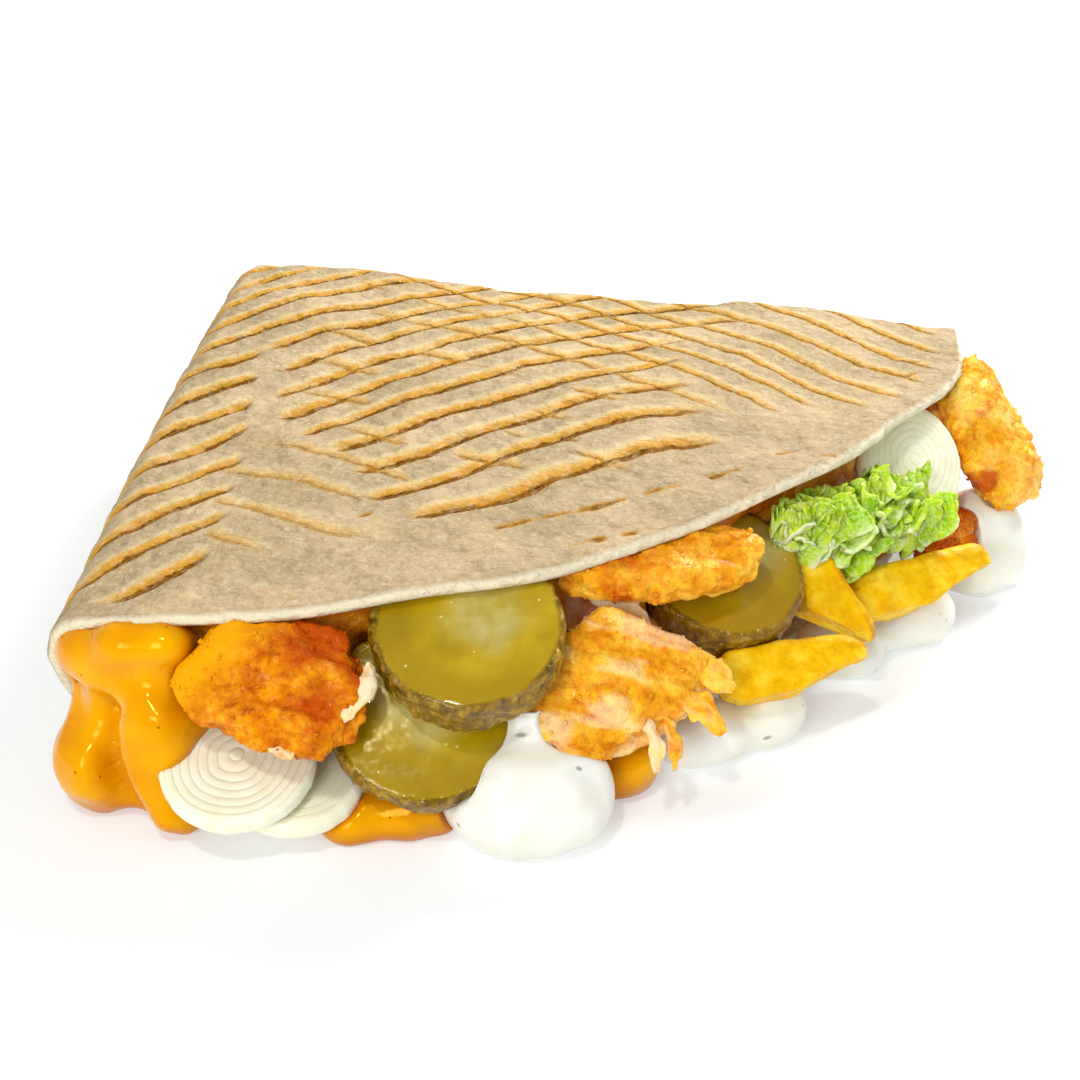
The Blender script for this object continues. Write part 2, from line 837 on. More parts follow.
@dataclass(frozen=True)
class GarlicSauce(Finish):
    """Yoghurt and garlic sauce: thick, white, softly glossy, with chopped herbs."""

    slot: str = "garlic_sauce"
    roughness: float = 0.3
    specular: float = 0.35
    coat: float = 0.1
    coat_roughness: float = 0.1
    subsurface: float = 0.25
    subsurface_depth: float = 2.5

    def paint(self, tree: bpy.types.NodeTree, place: bpy.types.NodeSocket) -> dict[str, bpy.types.Node]:
        """Near white with cream patches and grey-green herb flecks.

        Args:
            tree: the material's node tree.
            place: where each point is on the piece.

        Returns:
            What drives the shader's inputs.
        """
        add = partial(put, tree)
        colour = add(
            "ValToRGB",
            (add("TexNoise", grain(place, 11.0, 2.0)),),
            stops=((0.35, "#e8e6d6"), (0.6, "#f0f0e8")),
        )
        long_place = add(
            "Mapping", {"Vector": place, "Rotation": (0.3, 0.5, 0.9), "Scale": (0.45, 1.2, 1.0)}
        )
        cells = add("TexVoronoi", {"Vector": long_place.outputs[0], "Scale": per_metre(3.6)})
        fleck = add("ValToRGB", (cells.outputs["Distance"],), stops=((0.08, 1.0), (0.17, 0.0)))
        chosen = add("ValToRGB", (cells.outputs["Color"],), stops=((0.62, 0.0), (0.64, 0.75)))
        colour = add("MixRGB", (add("Math", (fleck, chosen), operation="MULTIPLY"), colour, "#82886c"))
        normal = add("Bump", {"Height": add("TexNoise", grain(place, 4.0, 2.0)), "Distance": 0.25 * MM})
        return {"Base Color": colour, "Normal": normal}


@dataclass(frozen=True)
class CrispLettuce(Finish):
    """Shredded frilly lettuce: thin, wet and translucent, with pale ribs."""

    slot: str = "lettuce"
    roughness: float = 0.32
    specular: float = 0.25
    tint: str = "#e8ffa0"
    subsurface: float = 0.4
    subsurface_depth: float = 1.0
    scatter: tuple[float, float, float] = (0.8, 1.0, 0.2)

    def paint(self, tree: bpy.types.NodeTree, place: bpy.types.NodeSocket) -> dict[str, bpy.types.Node]:
        """Yellow-green blades that pale towards the rib.

        Args:
            tree: the material's node tree.
            place: where each point is on the piece.

        Returns:
            What drives the shader's inputs.
        """
        add = partial(put, tree)
        at = {name: add("Attribute", attribute_name=name).outputs["Fac"] for name in ("rib",)}
        blade = add(
            "ValToRGB",
            (add("TexNoise", grain(place, 5.0, 4.0)),),
            stops=((0.3, "#82b606"), (0.5, "#b2d414"), (0.7, "#daea48")),
        )
        veins = add(
            "ValToRGB",
            (add("TexNoise", grain(place, 1.4, 3.0)),),
            stops=((0.42, 0.0), (0.5, 0.5), (0.58, 0.0)),
        )
        colour = add("MixRGB", (veins, blade, "#e6f5ae"))
        colour = add("MixRGB", (at["rib"], colour, "#f4f8dc"))
        normal = add("Bump", {"Height": add("TexNoise", grain(place, 1.5, 3.0)), "Distance": 0.3 * MM})
        return {"Base Color": colour, "Normal": normal}


# The bread


class Side(Enum):
    """The two sides of the folded bread."""

    UPPER = "upper"
    LOWER = "lower"


@dataclass
class GrillRidges:
    """One family of grill ridges, as its lines lie on the folded bread."""

    spacing: float
    first: float  # where one line crosses x = 0
    seed: int = 0

    def lean(self, x: np.ndarray, y: np.ndarray) -> np.ndarray:
        """How far a line has climbed at x, near y."""
        raise NotImplementedError

    def phase(self, x: np.ndarray, y: np.ndarray) -> np.ndarray:
        """Number of ridges passed, which is a whole number and a half on each line.

        Args:
            x: places along X.
            y: places along Y.

        Returns:
            One number for each place.
        """
        flat = np.column_stack([x, y, x * 0])
        wander = 0.6 * np.sin(x / 5.5 + y / 8.0) + 0.5 * noise(flat, 9.0, self.seed)
        return (y - self.lean(x, y) + wander - self.first) / self.spacing + 0.5

    def relief(self, phase: np.ndarray) -> np.ndarray:
        """Depth of the pressed groove, with the roll of dough that is pushed up behind it.

        Args:
            phase: number of ridges passed.

        Returns:
            Depth, as a share of the groove's.
        """
        part = phase - np.floor(phase)
        drop = smooth_step(part, 0.33, 0.49)
        roll = 1.0 - 1.3 * smooth_step(part, 0.5, 0.62) + 0.3 * smooth_step(part, 0.66, 0.95)
        return np.where(part < 0.5, drop, roll)


@dataclass
class RisingRidges(GrillRidges):
    """The main family: lines that climb to the right and bend over past the middle."""

    def lean(self, x: np.ndarray, y: np.ndarray) -> np.ndarray:
        """A steady climb, easier in front and again at the far right.

        Args:
            x: places along X.
            y: places along Y.

        Returns:
            The climbs.
        """
        near_front = smooth_step(-y, 0.0, 25.0)
        bend = 0.008 * np.maximum(x - 5.0, 0.0) ** 2
        return 0.58 * x - bend + near_front * (2.5 - 5.6 * smooth_step(x, -20.0, 0.0))

    def phase(self, x: np.ndarray, y: np.ndarray) -> np.ndarray:
        """As for every family, with the lines a little closer towards the back."""
        even_phase = super().phase(x, y)
        return even_phase + 0.02 * (even_phase - 0.5) ** 2


@dataclass
class FallingRidges(GrillRidges):
    """The second family: lines that fall to the right, steeper at the far end."""

    def lean(self, x: np.ndarray, y: np.ndarray) -> np.ndarray:
        """A fall that steepens between x = -10 and x = 30."""
        return -0.6 * x - 0.005 * np.clip(x + 10.0, 0.0, 40.0) ** 2 - 0.4 * np.maximum(x - 30.0, 0.0)

    def phase(self, x: np.ndarray, y: np.ndarray) -> np.ndarray:
        """As for every family, with one wider gap near the middle."""
        even_phase = super().phase(x, y)
        return even_phase - 0.5 * np.exp(-(((even_phase - 6.8) / 2.0) ** 2))


@dataclass
class FoldedFlatbread:
    """The round bread, folded to a quarter: one pocket with two folds and a round mouth."""

    radius: float = 167.0
    apex: tuple[float, float] = (-73.2, 106.5)
    back_fold: float = math.radians(-13.1)
    left_fold: float = math.radians(-95.1)
    thickness: float = 2.9
    apex_rounding: float = 11.0
    mouth_bulge: float = 5.0
    corner_bulge: float = 4.0
    corner_share: float = 0.14
    corner_width: float = 0.08
    left_pull_in: float = 21.0
    bottom_setback: float = 9.0  # how far the lower edge stays back, on the table
    setback_top: float = 24.0  # height where the setback starts
    setback_drop: float = 18.0  # height over which it grows
    shoulders: dict[Side, float] = field(default_factory=lambda: {Side.UPPER: 9.0, Side.LOWER: 24.0})
    bend_arcs: dict[Side, float] = field(default_factory=lambda: {Side.UPPER: 24.5, Side.LOWER: 37.0})
    shoulder_power: float = 2.2
    apex_height: float = 43.0
    mouth_rise: float = 6.5
    left_tip_drop: float = 9.5
    fold_base: float = 20.0
    fold_mouth_rise: float = 4.0
    fold_left_rise: float = 3.0
    groove_depth: float = 1.05
    mouth_points: int = 330
    edge_points: int = 400  # of the line that keeps the net inside the mouth
    fold_steps: tuple[float, float] = (0.9, 2.4)  # along the folds, of the skin and of the lining
    skin_steps: dict[Side, float] = field(default_factory=lambda: {Side.UPPER: 0.64, Side.LOWER: 1.4})
    lining_steps: dict[Side, float] = field(default_factory=lambda: {Side.UPPER: 2.6, Side.LOWER: 3.0})
    lip_layers: int = 4
    dashes: tuple[tuple[tuple[float, float], ...], ...] = (
        ((-7.5, -27.8), (0.0, -25.3), (6.7, -22.8), (15.0, -19.5)),
        ((19.0, -17.8), (24.0, -15.7)),
        ((31.0, -12.3), (36.0, -10.3)),
        ((44.0, -3.5), (47.0, -2.5)),
        ((52.0, -5.0), (57.0, -6.0)),
        ((6.0, -33.7), (11.0, -32.0)),
        ((14.5, -31.2), (16.0, -30.8)),
        ((22.0, -30.5), (24.0, -30.0)),
        ((-32.0, -21.0), (-30.5, -20.5)),
        ((3.5, 3.0), (6.5, 1.3)),
        ((21.0, 10.0), (26.0, 10.5)),
        ((20.0, 23.0), (28.0, 25.5)),
        ((74.0, 33.0), (76.0, 35.0)),
    )
    rising: GrillRidges = field(default_factory=lambda: RisingRidges(12.6, 13.1, 61))
    falling: GrillRidges = field(default_factory=lambda: FallingRidges(12.4, -23.0, 62))

    @property
    def span(self) -> float:
        """Angle between the two folds."""
        return self.back_fold - self.left_fold

    def share(self, x: np.ndarray, y: np.ndarray) -> np.ndarray:
        """Share of the way round the mouth: 0 at the back fold, 1 at the left fold."""
        angle = np.arctan2(y - self.apex[1], x - self.apex[0])
        return np.clip((self.back_fold - angle) / self.span, 0.0, 1.0)

    def mouth_radius(self, share: np.ndarray) -> np.ndarray:
        """Radius of the round edge at a share of the way round.

        Args:
            share: share of the way round, from the back fold.

        Returns:
            The radius at each.
        """
        corner = np.exp(-(((share - self.corner_share) / self.corner_width) ** 2))
        waves = 0.5 * np.sin(23 * share) + 0.35 * np.sin(41 * share + 1)
        bulges = self.mouth_bulge * np.sin(math.pi * share) + self.corner_bulge * corner
        return self.radius - self.left_pull_in * share**2 + bulges + waves

    def reach(self, x: np.ndarray, y: np.ndarray) -> np.ndarray:
        """Distance from the apex, as a share of the radius."""
        return np.hypot(x - self.apex[0], y - self.apex[1]) / self.radius

    def inside(self, x: np.ndarray, y: np.ndarray) -> tuple[np.ndarray, np.ndarray]:
        """Distance inside the folds, with the apex rounded, and the way that it grows.

        Args:
            x: places along X.
            y: places along Y.

        Returns:
            The distances, and a unit vector for each.
        """
        dx, dy = x - self.apex[0], y - self.apex[1]
        back, left = self.back_fold, self.left_fold
        from_back = dx * math.sin(back) - dy * math.cos(back)
        from_left = -dx * math.sin(left) + dy * math.cos(left)
        middle = (back + left) / 2
        centre = self.apex_rounding / math.sin(self.span / 2)
        cx, cy = dx - centre * math.cos(middle), dy - centre * math.sin(middle)
        past_back = cx * math.cos(back) + cy * math.sin(back)
        past_left = cx * math.cos(left) + cy * math.sin(left)
        corner = (past_back < 0) & (past_left < 0)
        length = np.maximum(np.hypot(cx, cy), 1e-9)
        distance = np.where(corner, self.apex_rounding - length, np.minimum(from_back, from_left))
        nearer_back = from_back < from_left
        gx = np.where(nearer_back, math.sin(back), -math.sin(left))
        gy = np.where(nearer_back, -math.cos(back), math.cos(left))
        gx = np.where(corner, -cx / length, gx)
        gy = np.where(corner, -cy / length, gy)
        return distance, np.stack([gx, gy], axis=-1)

    def fold_height(self, x: np.ndarray, y: np.ndarray) -> np.ndarray:
        """Height of the fold line, where the two sides meet.

        Args:
            x: places along X.
            y: places along Y.

        Returns:
            The heights.
        """
        share = self.share(x, y)
        rise = self.fold_mouth_rise + self.fold_left_rise * share * share * (3 - 2 * share)
        return self.fold_base + rise * np.clip(self.reach(x, y), 0.0, 1.0)

    def top_height(self, x: np.ndarray, y: np.ndarray) -> np.ndarray:
        """Height of the upper side, away from the folds.

        Args:
            x: places along X.
            y: places along Y.

        Returns:
            The heights.
        """
        share, reach = self.share(x, y), self.reach(x, y)
        rise = self.mouth_rise * np.sin(math.pi * share) * reach
        drop = self.left_tip_drop * share**3 * reach**2
        long_lumps = 0.9 * np.sin(0.055 * x + 1.3) * np.sin(0.06 * y + 0.4)
        short_lumps = 0.5 * np.sin(0.11 * x - 0.07 * y)
        return self.apex_height + rise - drop + (long_lumps + short_lumps)

    def height(self, side: Side, x: np.ndarray, y: np.ndarray, inset: float) -> np.ndarray:
        """Height of one side, at some depth inside the bread.

        Args:
            side: the side.
            x: places along X.
            y: places along Y.
            inset: how deep inside the bread.

        Returns:
            The heights.
        """
        depth = np.maximum(self.inside(x, y)[0] - inset, 0.0)
        left = np.clip(1.0 - depth / self.shoulders[side], 0.0, 1.0)
        rise = (1.0 - left**self.shoulder_power) ** (1.0 / self.shoulder_power)
        fold = self.fold_height(x, y)
        if side is Side.UPPER:
            return fold + (self.top_height(x, y) - inset - fold) * rise
        return inset + (fold - inset) * (1.0 - rise)

    def mouth_line(self, side: Side, inset: float, count: int) -> np.ndarray:
        """Points along one side's round edge, from the left fold to the back fold.

        Args:
            side: the side.
            inset: how deep inside the bread.
            count: number of points.

        Returns:
            One row for each point.
        """
        steps = np.linspace(0.0, 1.0, count)
        margin = inset / self.radius
        angle = self.left_fold + margin + (self.span - 2 * margin) * steps
        share = np.clip((self.back_fold - angle) / self.span, 0.0, 1.0)
        radius = self.mouth_radius(share)
        reach = radius.copy()
        for _ in range(8):
            x = self.apex[0] + reach * np.cos(angle)
            y = self.apex[1] + reach * np.sin(angle)
            if side is Side.UPPER:
                break
            height = self.height(side, x, y, inset)
            down = np.clip((self.setback_top - height) / self.setback_drop, 0.0, 1.0)
            reach = radius - self.bottom_setback * down
        return np.stack([x, y], axis=1)

    def fold_line(self, inset: float, step: float) -> np.ndarray:
        """Points along the folds, from the back corner round the apex to the left corner.

        Args:
            inset: how deep inside the bread.
            step: distance between points.

        Returns:
            One row for each point.
        """
        back, left = self.back_fold, self.left_fold
        margin = inset / self.radius
        corners = []
        for angle, share in ((back - margin, 0.0), (left + margin, 1.0)):
            reach = float(self.mouth_radius(np.array(share)))
            corners.append(np.array(self.apex) + reach * np.array([math.cos(angle), math.sin(angle)]))
        middle = (back + left) / 2
        centre = self.apex_rounding / math.sin(self.span / 2)
        centre = np.array(self.apex) + centre * np.array([math.cos(middle), math.sin(middle)])
        bend = self.apex_rounding - inset
        start, end = back + math.pi / 2, left + 3 * math.pi / 2
        arc = np.linspace(start, end, max(int((end - start) * 25.0 / step), 8))
        round_part = centre + bend * np.stack([np.cos(arc), np.sin(arc)], axis=1)
        count = int(150 / step)  # a straight fold is some 150 mm long
        first = np.linspace(corners[0], round_part[0], count)[:-1]
        last = np.linspace(round_part[-1], corners[1], count)[1:]
        return np.concatenate([first, round_part, last])

    def sheet(self, side: Side, inset: float, step: float, fold: np.ndarray) -> Surface:
        """One side of the bread as an even net of triangles.

        The net is made on a plan where the bend beside each fold is rolled out flat.

        Args:
            side: the side to make.
            inset: how deep inside the bread it lies.
            step: size of the triangles.
            fold: the points along the folds.

        Returns:
            The surface. Its points start with the fold's, then the mouth's.
        """
        width, arc = self.shoulders[side], self.bend_arcs[side]
        mouth = self.mouth_line(side, inset, self.mouth_points)[1:-1]
        rim = np.concatenate([fold, mouth])
        depth, inward = self.inside(rim[:, 0], rim[:, 1])
        depth = np.clip(depth - inset, 0.0, width)
        rolled = arc * np.arccos(1.0 - depth / width) / (math.pi / 2)
        outline = rim - inward * ((arc - rolled) - (width - depth))[:, None]
        low, high = outline.min(0), outline.max(0)
        columns = np.arange(low[0], high[0], step)
        rows = np.arange(low[1], high[1], step * math.sqrt(0.75))
        x, y = np.meshgrid(columns, rows)
        x[1::2] += step / 2
        plan = np.stack([x.ravel(), y.ravel()], axis=1)
        depth, inward = self.inside(plan[:, 0], plan[:, 1])
        rolled = depth - inset + arc - width
        bent = width * (1.0 - np.cos(np.clip(rolled / arc, 0.0, 1.0) * math.pi / 2))
        real_depth = np.where(rolled < arc, bent, depth - inset)
        real = plan + inward * (real_depth + inset - depth)[:, None]
        angle = np.arctan2(real[:, 1] - self.apex[1], real[:, 0] - self.apex[0])
        edge = self.mouth_line(side, inset, self.edge_points)
        edge_angle = np.arctan2(edge[:, 1] - self.apex[1], edge[:, 0] - self.apex[0])
        edge_reach = np.hypot(edge[:, 0] - self.apex[0], edge[:, 1] - self.apex[1])
        far = np.interp(angle, edge_angle, edge_reach)
        near = np.hypot(real[:, 0] - self.apex[0], real[:, 1] - self.apex[1])
        keep = (rolled > 0.6 * step) & (near < far - 0.6 * step)
        plan, real = plan[keep], real[keep]
        corners = [Vector(p) for p in np.concatenate([outline, plan])]
        loop = [(k, (k + 1) % len(outline)) for k in range(len(outline))]
        made = delaunay_2d_cdt(corners, loop, [], 1, 1e-6)
        origin = [source[0] for source in made[3]]
        flat = np.concatenate([rim, real])
        faces = np.array([[origin[k] for k in face] for face in made[2]])
        heights = self.height(side, flat[:, 0], flat[:, 1], inset)
        heights[: len(fold)] = self.fold_height(fold[:, 0], fold[:, 1])
        if side is Side.LOWER:
            faces = faces[:, ::-1]
        return Surface(np.column_stack([flat, heights]), faces)

    def marks(self, points: np.ndarray, upper: np.ndarray) -> dict[str, np.ndarray]:
        """Where each family of grill ridges pressed, and how hard.

        Args:
            points: points of the skin.
            upper: 1 on the upper side and 0 below.

        Returns:
            The point values that the finish and the relief read.
        """
        x, y = points[:, 0], points[:, 1]
        bare = self.mouth_radius(self.share(x, y)) - self.reach(x, y) * self.radius
        uneven = 9.0 * noise(points * [1, 1, 0], 16.0, 3)
        clear = smooth_step(bare + 0.5 * uneven, 13.0, 18.0)
        # The main family: short lines by the left fold, then long ones across the middle.
        left_lines = smooth_step(bare, 2.0, 6.0) * (1.0 - smooth_step(x + 0.3 * uneven, -60.0, -57.0))
        start = -53.0 + 0.6 * np.maximum(22.0 - y, 0.0)
        middle = smooth_step(x - start + 0.4 * uneven, 0.0, 5.0) * clear
        far = smooth_step(y, 48.0, 60.0)
        middle *= 1.0 - smooth_step(x - 10.0 * far + uneven, 21.0, 33.0) * (1.0 - 0.3 * far)
        middle *= 1.0 - smooth_step(x + 0.3 * y, 55.0, 70.0)
        joined = smooth_step(y + 0.3 * uneven, 46.0, 54.0) * smooth_step(-x, 45.0, 50.0) * clear
        hard_a = np.maximum(np.maximum(left_lines, middle), joined)
        # The second family: strong at the far right, soft rolls near the left, faint between.
        right = smooth_step(x + y + 0.5 * uneven, 48.0, 62.0) * smooth_step(bare, 3.0, 8.0)
        right *= smooth_step(y + 0.3 * uneven, 16.0, 22.0)
        chevron = smooth_step(x, -61.0, -57.0) * (1.0 - smooth_step(x + 0.3 * uneven, -35.0, -28.0))
        chevron *= smooth_step(y, -33.0, -26.0) * clear
        chevron *= 1.0 - smooth_step(y + 0.5 * uneven, 4.0, 12.0)
        broken = smooth_step(noise(points * [1, 1, 0], 10.0, 24), -0.5, 0.1)
        between = 0.75 * broken * smooth_step(x + uneven, -46.0, -34.0)
        between *= clear * smooth_step(y, -14.0, -6.0)
        hard_b = np.maximum(np.maximum(0.9 * right, 0.6 * chevron), between)
        # The lower side is marked all over, and the walls at the folds weren't pressed.
        lower = (1.0 - upper) * clear
        not_wall = smooth_step(self.inside(x, y)[0], 0.4, 2.6)
        return {
            "rib_a": self.rising.phase(x, y),
            "rib_b": self.falling.phase(x, y),
            "mark_a": (upper * hard_a + 0.8 * lower) * not_wall,
            "mark_b": (upper * hard_b + 0.4 * lower) * not_wall,
            "scorch": 1.0 - smooth_step(bare, 14.0, 30.0),
            "dash": upper * self.dashed(points[:, :2]),
        }

    def dashed(self, places: np.ndarray) -> np.ndarray:
        """How near each place is to a scorched dash, from 0 to 1.

        Args:
            places: places seen from above.

        Returns:
            One number for each place.
        """
        nearest = np.min([gap_to_path(places, dash) for dash in self.dashes], axis=0)
        uneven = 0.5 * noise(np.column_stack([places, places[:, 0] * 0]), 2.5, 21)
        return 1.0 - smooth_step(nearest + uneven, 0.1, 1.3)

    def surface(self) -> Surface:
        """The whole bread: both sides, the lining and the lip between them.

        Returns:
            The bread, in the row frame.
        """
        fold_outer = self.fold_line(0.0, self.fold_steps[0])
        fold_inner = self.fold_line(self.thickness, self.fold_steps[1])
        upper = self.sheet(Side.UPPER, 0.0, self.skin_steps[Side.UPPER], fold_outer)
        lower = self.sheet(Side.LOWER, 0.0, self.skin_steps[Side.LOWER], fold_outer)
        lining_upper = self.sheet(Side.UPPER, self.thickness, self.lining_steps[Side.UPPER], fold_inner)
        lining_lower = self.sheet(Side.LOWER, self.thickness, self.lining_steps[Side.LOWER], fold_inner)
        outer = self.weld(upper, lower, len(fold_outer))
        lower_only = len(lower.points) - len(fold_outer)
        outer.values["upper"] = np.concatenate([np.ones(len(upper.points)), np.zeros(lower_only)])
        lining = self.weld(lining_upper, lining_lower, len(fold_inner))
        lining.faces = lining.faces[:, ::-1]
        outer.values.update(self.marks(outer.points, outer.values["upper"]))
        self.press(outer)
        outer.values["lip"] = np.zeros(len(outer.points))
        lining.values["lip"] = np.full(len(lining.points), 0.8)
        shift_outer = len(outer.points)
        inner = self.mouth_ring(len(fold_inner), len(lining_upper.points))
        ring = self.mouth_ring(len(fold_outer), len(upper.points))
        bread = outer.add(lining)
        self.close_lip(bread, ring, inner + shift_outer)
        bread.points += SHIFT
        return bread.above_table()

    def weld(self, upper: Surface, lower: Surface, fold_count: int) -> Surface:
        """Joins two sides along the folds, whose points they share.

        Args:
            upper: the upper side.
            lower: the lower side.
            fold_count: how many points they share, which come first in both.

        Returns:
            Both as one surface.
        """
        start = len(upper.points)
        lower_only = start + np.arange(len(lower.points) - fold_count)
        index = np.concatenate([np.arange(fold_count), lower_only])
        points = np.concatenate([upper.points, lower.points[fold_count:]])
        return Surface(points, np.concatenate([upper.faces, index[lower.faces]]))

    def mouth_ring(self, fold_count: int, upper_count: int) -> np.ndarray:
        """Indices round the mouth: along the upper edge, then back along the lower one.

        Args:
            fold_count: number of points along the folds.
            upper_count: number of points in the upper side.

        Returns:
            The indices.
        """
        between = np.arange(self.mouth_points - 2)
        upper = fold_count + between
        lower = upper_count + between
        left, back = fold_count - 1, 0
        return np.concatenate([[left], upper, [back], lower[::-1]])

    def close_lip(self, bread: Surface, outer: np.ndarray, inner: np.ndarray) -> None:
        """Adds the rounded lip between the outer skin and the lining.

        Args:
            bread: the skin and the lining, which gets the lip.
            outer: ring of points at the skin's mouth.
            inner: ring of points at the lining's mouth.
        """
        count = len(outer)
        a, b = bread.points[outer], bread.points[inner]
        away = (a + b) / 2 - np.array([*self.apex, 20.0])
        away[:, 2] = 0.0
        away /= np.linalg.norm(away, axis=1, keepdims=True)
        rows = [outer]
        ragged = 0.5 * rough_noise(a, 2.6, 3, 11)
        for layer in range(1, self.lip_layers):
            t = layer / self.lip_layers
            bulge = math.sin(math.pi * t) * (0.9 + ragged)
            start = len(bread.points)
            row = a * (1 - t) + b * t + away * bulge[:, None]
            bread.points = np.concatenate([bread.points, row])
            rows.append(start + np.arange(count))
            for name, value in bread.values.items():
                fill = np.full(count, 1.0 if name == "lip" else 0.0)
                bread.values[name] = np.concatenate([value, fill])
        rows.append(inner)
        for first, second in zip(rows, rows[1:]):
            after_first, after_second = np.roll(first, -1), np.roll(second, -1)
            one = np.stack([first, second, after_first], axis=1)
            two = np.stack([after_first, second, after_second], axis=1)
            bread.faces = np.concatenate([bread.faces, one, two])

    def press(self, skin: Surface) -> None:
        """Puffs the skin and presses the grill grooves into it.

        Args:
            skin: the skin, with its marks.
        """
        values = skin.values
        flat = skin.points * [1.0, 1.0, 0.6]
        puff = 0.55 * noise(flat, 9.0, 5) + 0.4 * noise(flat, 4.2, 6)
        stretched = skin.points @ np.diag([0.45, 1.0, 1.0])
        ripples = 0.24 * noise(stretched, 2.1, 7) + 0.07 * noise(stretched, 1.1, 8)
        first, second = (
            values["mark_" + family] * ridges.relief(values["rib_" + family])
            for family, ridges in (("a", self.rising), ("b", self.falling))
        )
        depth = np.where(np.abs(first) > 0.45 * np.abs(second), first, 0.45 * second)
        depth = np.maximum(depth, 0.35 * values["dash"])
        at_fold = self.inside(skin.points[:, 0], skin.points[:, 1])[0]
        depth *= 0.35 + 0.65 * smooth_step(at_fold, 1.0, 11.0)
        at_back = 1.0 - smooth_step(at_fold, 4.0, 22.0)
        at_back *= smooth_step(skin.points[:, 0], -66.0, -50.0)
        swell = (0.35 * noise(flat, 26.0, 9) + 1.3 * noise(flat, 21.0, 19) * at_back) * values["upper"]
        lift = swell + 0.45 * puff + ripples - self.groove_depth * depth
        flat_below = smooth_step(skin.points[:, 2], 0.2, 6.0)
        values["puff"] = np.clip(puff, -0.5, 0.5)
        skin.swell(np.where(flat_below < 1.0, np.minimum(lift, 0.0) * 0.6, lift))

    def make(self) -> None:
        """Builds the bread and dresses it."""
        fitted(self.surface(), "folded_bread", BakedBread(), "flatbread")


# The pieces in the mouth


@dataclass(frozen=True)
class Cut:
    """A torn edge: a place along and across the piece, and the way out of it, in degrees."""

    along: float
    across: float
    way: float


@dataclass(frozen=True)
class Patch:
    """A scorched patch: a place along and across the piece, its radius and how dark it is."""

    along: float
    across: float
    radius: float
    strength: float


@dataclass(frozen=True)
class Stroke:
    """A crease in sauce along a path in the drawing frame, or a run where its depth is below 0."""

    radius: float
    depth: float
    path: tuple[tuple[float, float, float], ...]


@dataclass(frozen=True)
class Lobe:
    """A round body of more sauce, with its centre in the drawing frame."""

    centre: tuple[float, float, float]
    radii: tuple[float, float, float]


@dataclass
class Morsel:
    """A piece that keeps its frame solid's form: remeshed, softened and given relief."""

    node: str
    centre: tuple[float, float, float] = (0.0, 0.0, 0.0)  # in the drawing frame
    look: tuple[float, ...] = (0.0, 0.0)  # azimuth, elevation and turn of its face
    voxel: float = 0.45
    rounds: int = 6
    seed: int = 0
    cuts: tuple[Cut, ...] = ()

    def local(self, points: np.ndarray) -> np.ndarray:
        """Places in the piece's own axes: along, across and out of its face."""
        return (points - SHIFT - np.array(self.centre)) @ facing(*self.look)

    def surface(self, nodes: dict[str, bpy.types.Object]) -> Surface:
        """The softened form, with this piece's relief and values.

        Args:
            nodes: the frame's solids, by node.

        Returns:
            The shape, in the row frame.
        """
        voxel = self.voxel * 1.0
        shape = even(nodes[self.node].data.copy(), voxel).relax(self.rounds)
        for cut in self.cuts:
            out = np.array([math.cos(math.radians(cut.way)), math.sin(math.radians(cut.way)), 0.0])
            past = np.maximum((self.local(shape.points) - [cut.along, cut.across, 0.0]) @ out, 0.0)
            shape.points = shape.points - past[:, None] * (facing(*self.look) @ out)
        if self.cuts:
            shape = even(shape.to_mesh("torn"), voxel).relax(2)
        self.carve(shape)
        return shape.above_table()

    def carve(self, shape: Surface) -> None:
        """Adds this piece's relief and point values."""
        raise NotImplementedError

    def finish(self) -> Finish:
        """What the piece is made of."""
        raise NotImplementedError

    def make(self, nodes: dict[str, bpy.types.Object]) -> None:
        """Builds the piece and dresses it."""
        fitted(self.surface(nodes), self.node + "_piece", self.finish(), self.node)


def ball(centre: np.ndarray, radii: tuple[float, float, float], fineness: int = 3) -> Surface:
    """A closed round body, in the row frame.

    Args:
        centre: its centre.
        radii: its radii along X, Y and Z.
        fineness: how often its faces were split.

    Returns:
        The body.
    """
    made = bmesh.new()
    bmesh.ops.create_icosphere(made, subdivisions=fineness, radius=1.0)
    points = np.array([tuple(v.co) for v in made.verts]) * radii + centre
    faces = np.array([[v.index for v in face.verts] for face in made.faces])
    made.free()
    return Surface(points, faces)


def crumbs(count: int, on: Surface, size: float, seed: int) -> Surface:
    """Small uneven crumbs that lie half sunk in a surface.

    Args:
        count: how many there are.
        on: the surface that they lie on.
        size: mean radius.
        seed: which places they take.

    Returns:
        The crumbs.
    """
    body = ball(np.zeros(3), (1.0, 1.0, 1.0), 1)
    points, faces = body.points, body.faces
    draw = np.random.default_rng(seed)
    chosen = draw.choice(len(on.points), count)
    radii = size * draw.uniform(0.4, 1.5, (count, 1, 1))
    spread = draw.uniform(0.6, 1.3, (count, 1, 3))
    apart = np.tile(points, (count, 1)) + 9.0 * np.repeat(chosen, len(points))[:, None]
    uneven = 1.0 + 0.5 * rough_noise(apart, 0.9)
    bodies = points[None] * radii * spread * uneven.reshape(count, -1, 1) + on.points[chosen][:, None]
    starts = np.arange(count)[:, None, None] * len(points)
    values = {key: np.repeat(value[chosen], len(points)) for key, value in on.values.items()}
    return Surface(bodies.reshape(-1, 3), (faces[None] + starts).reshape(-1, 3), values)


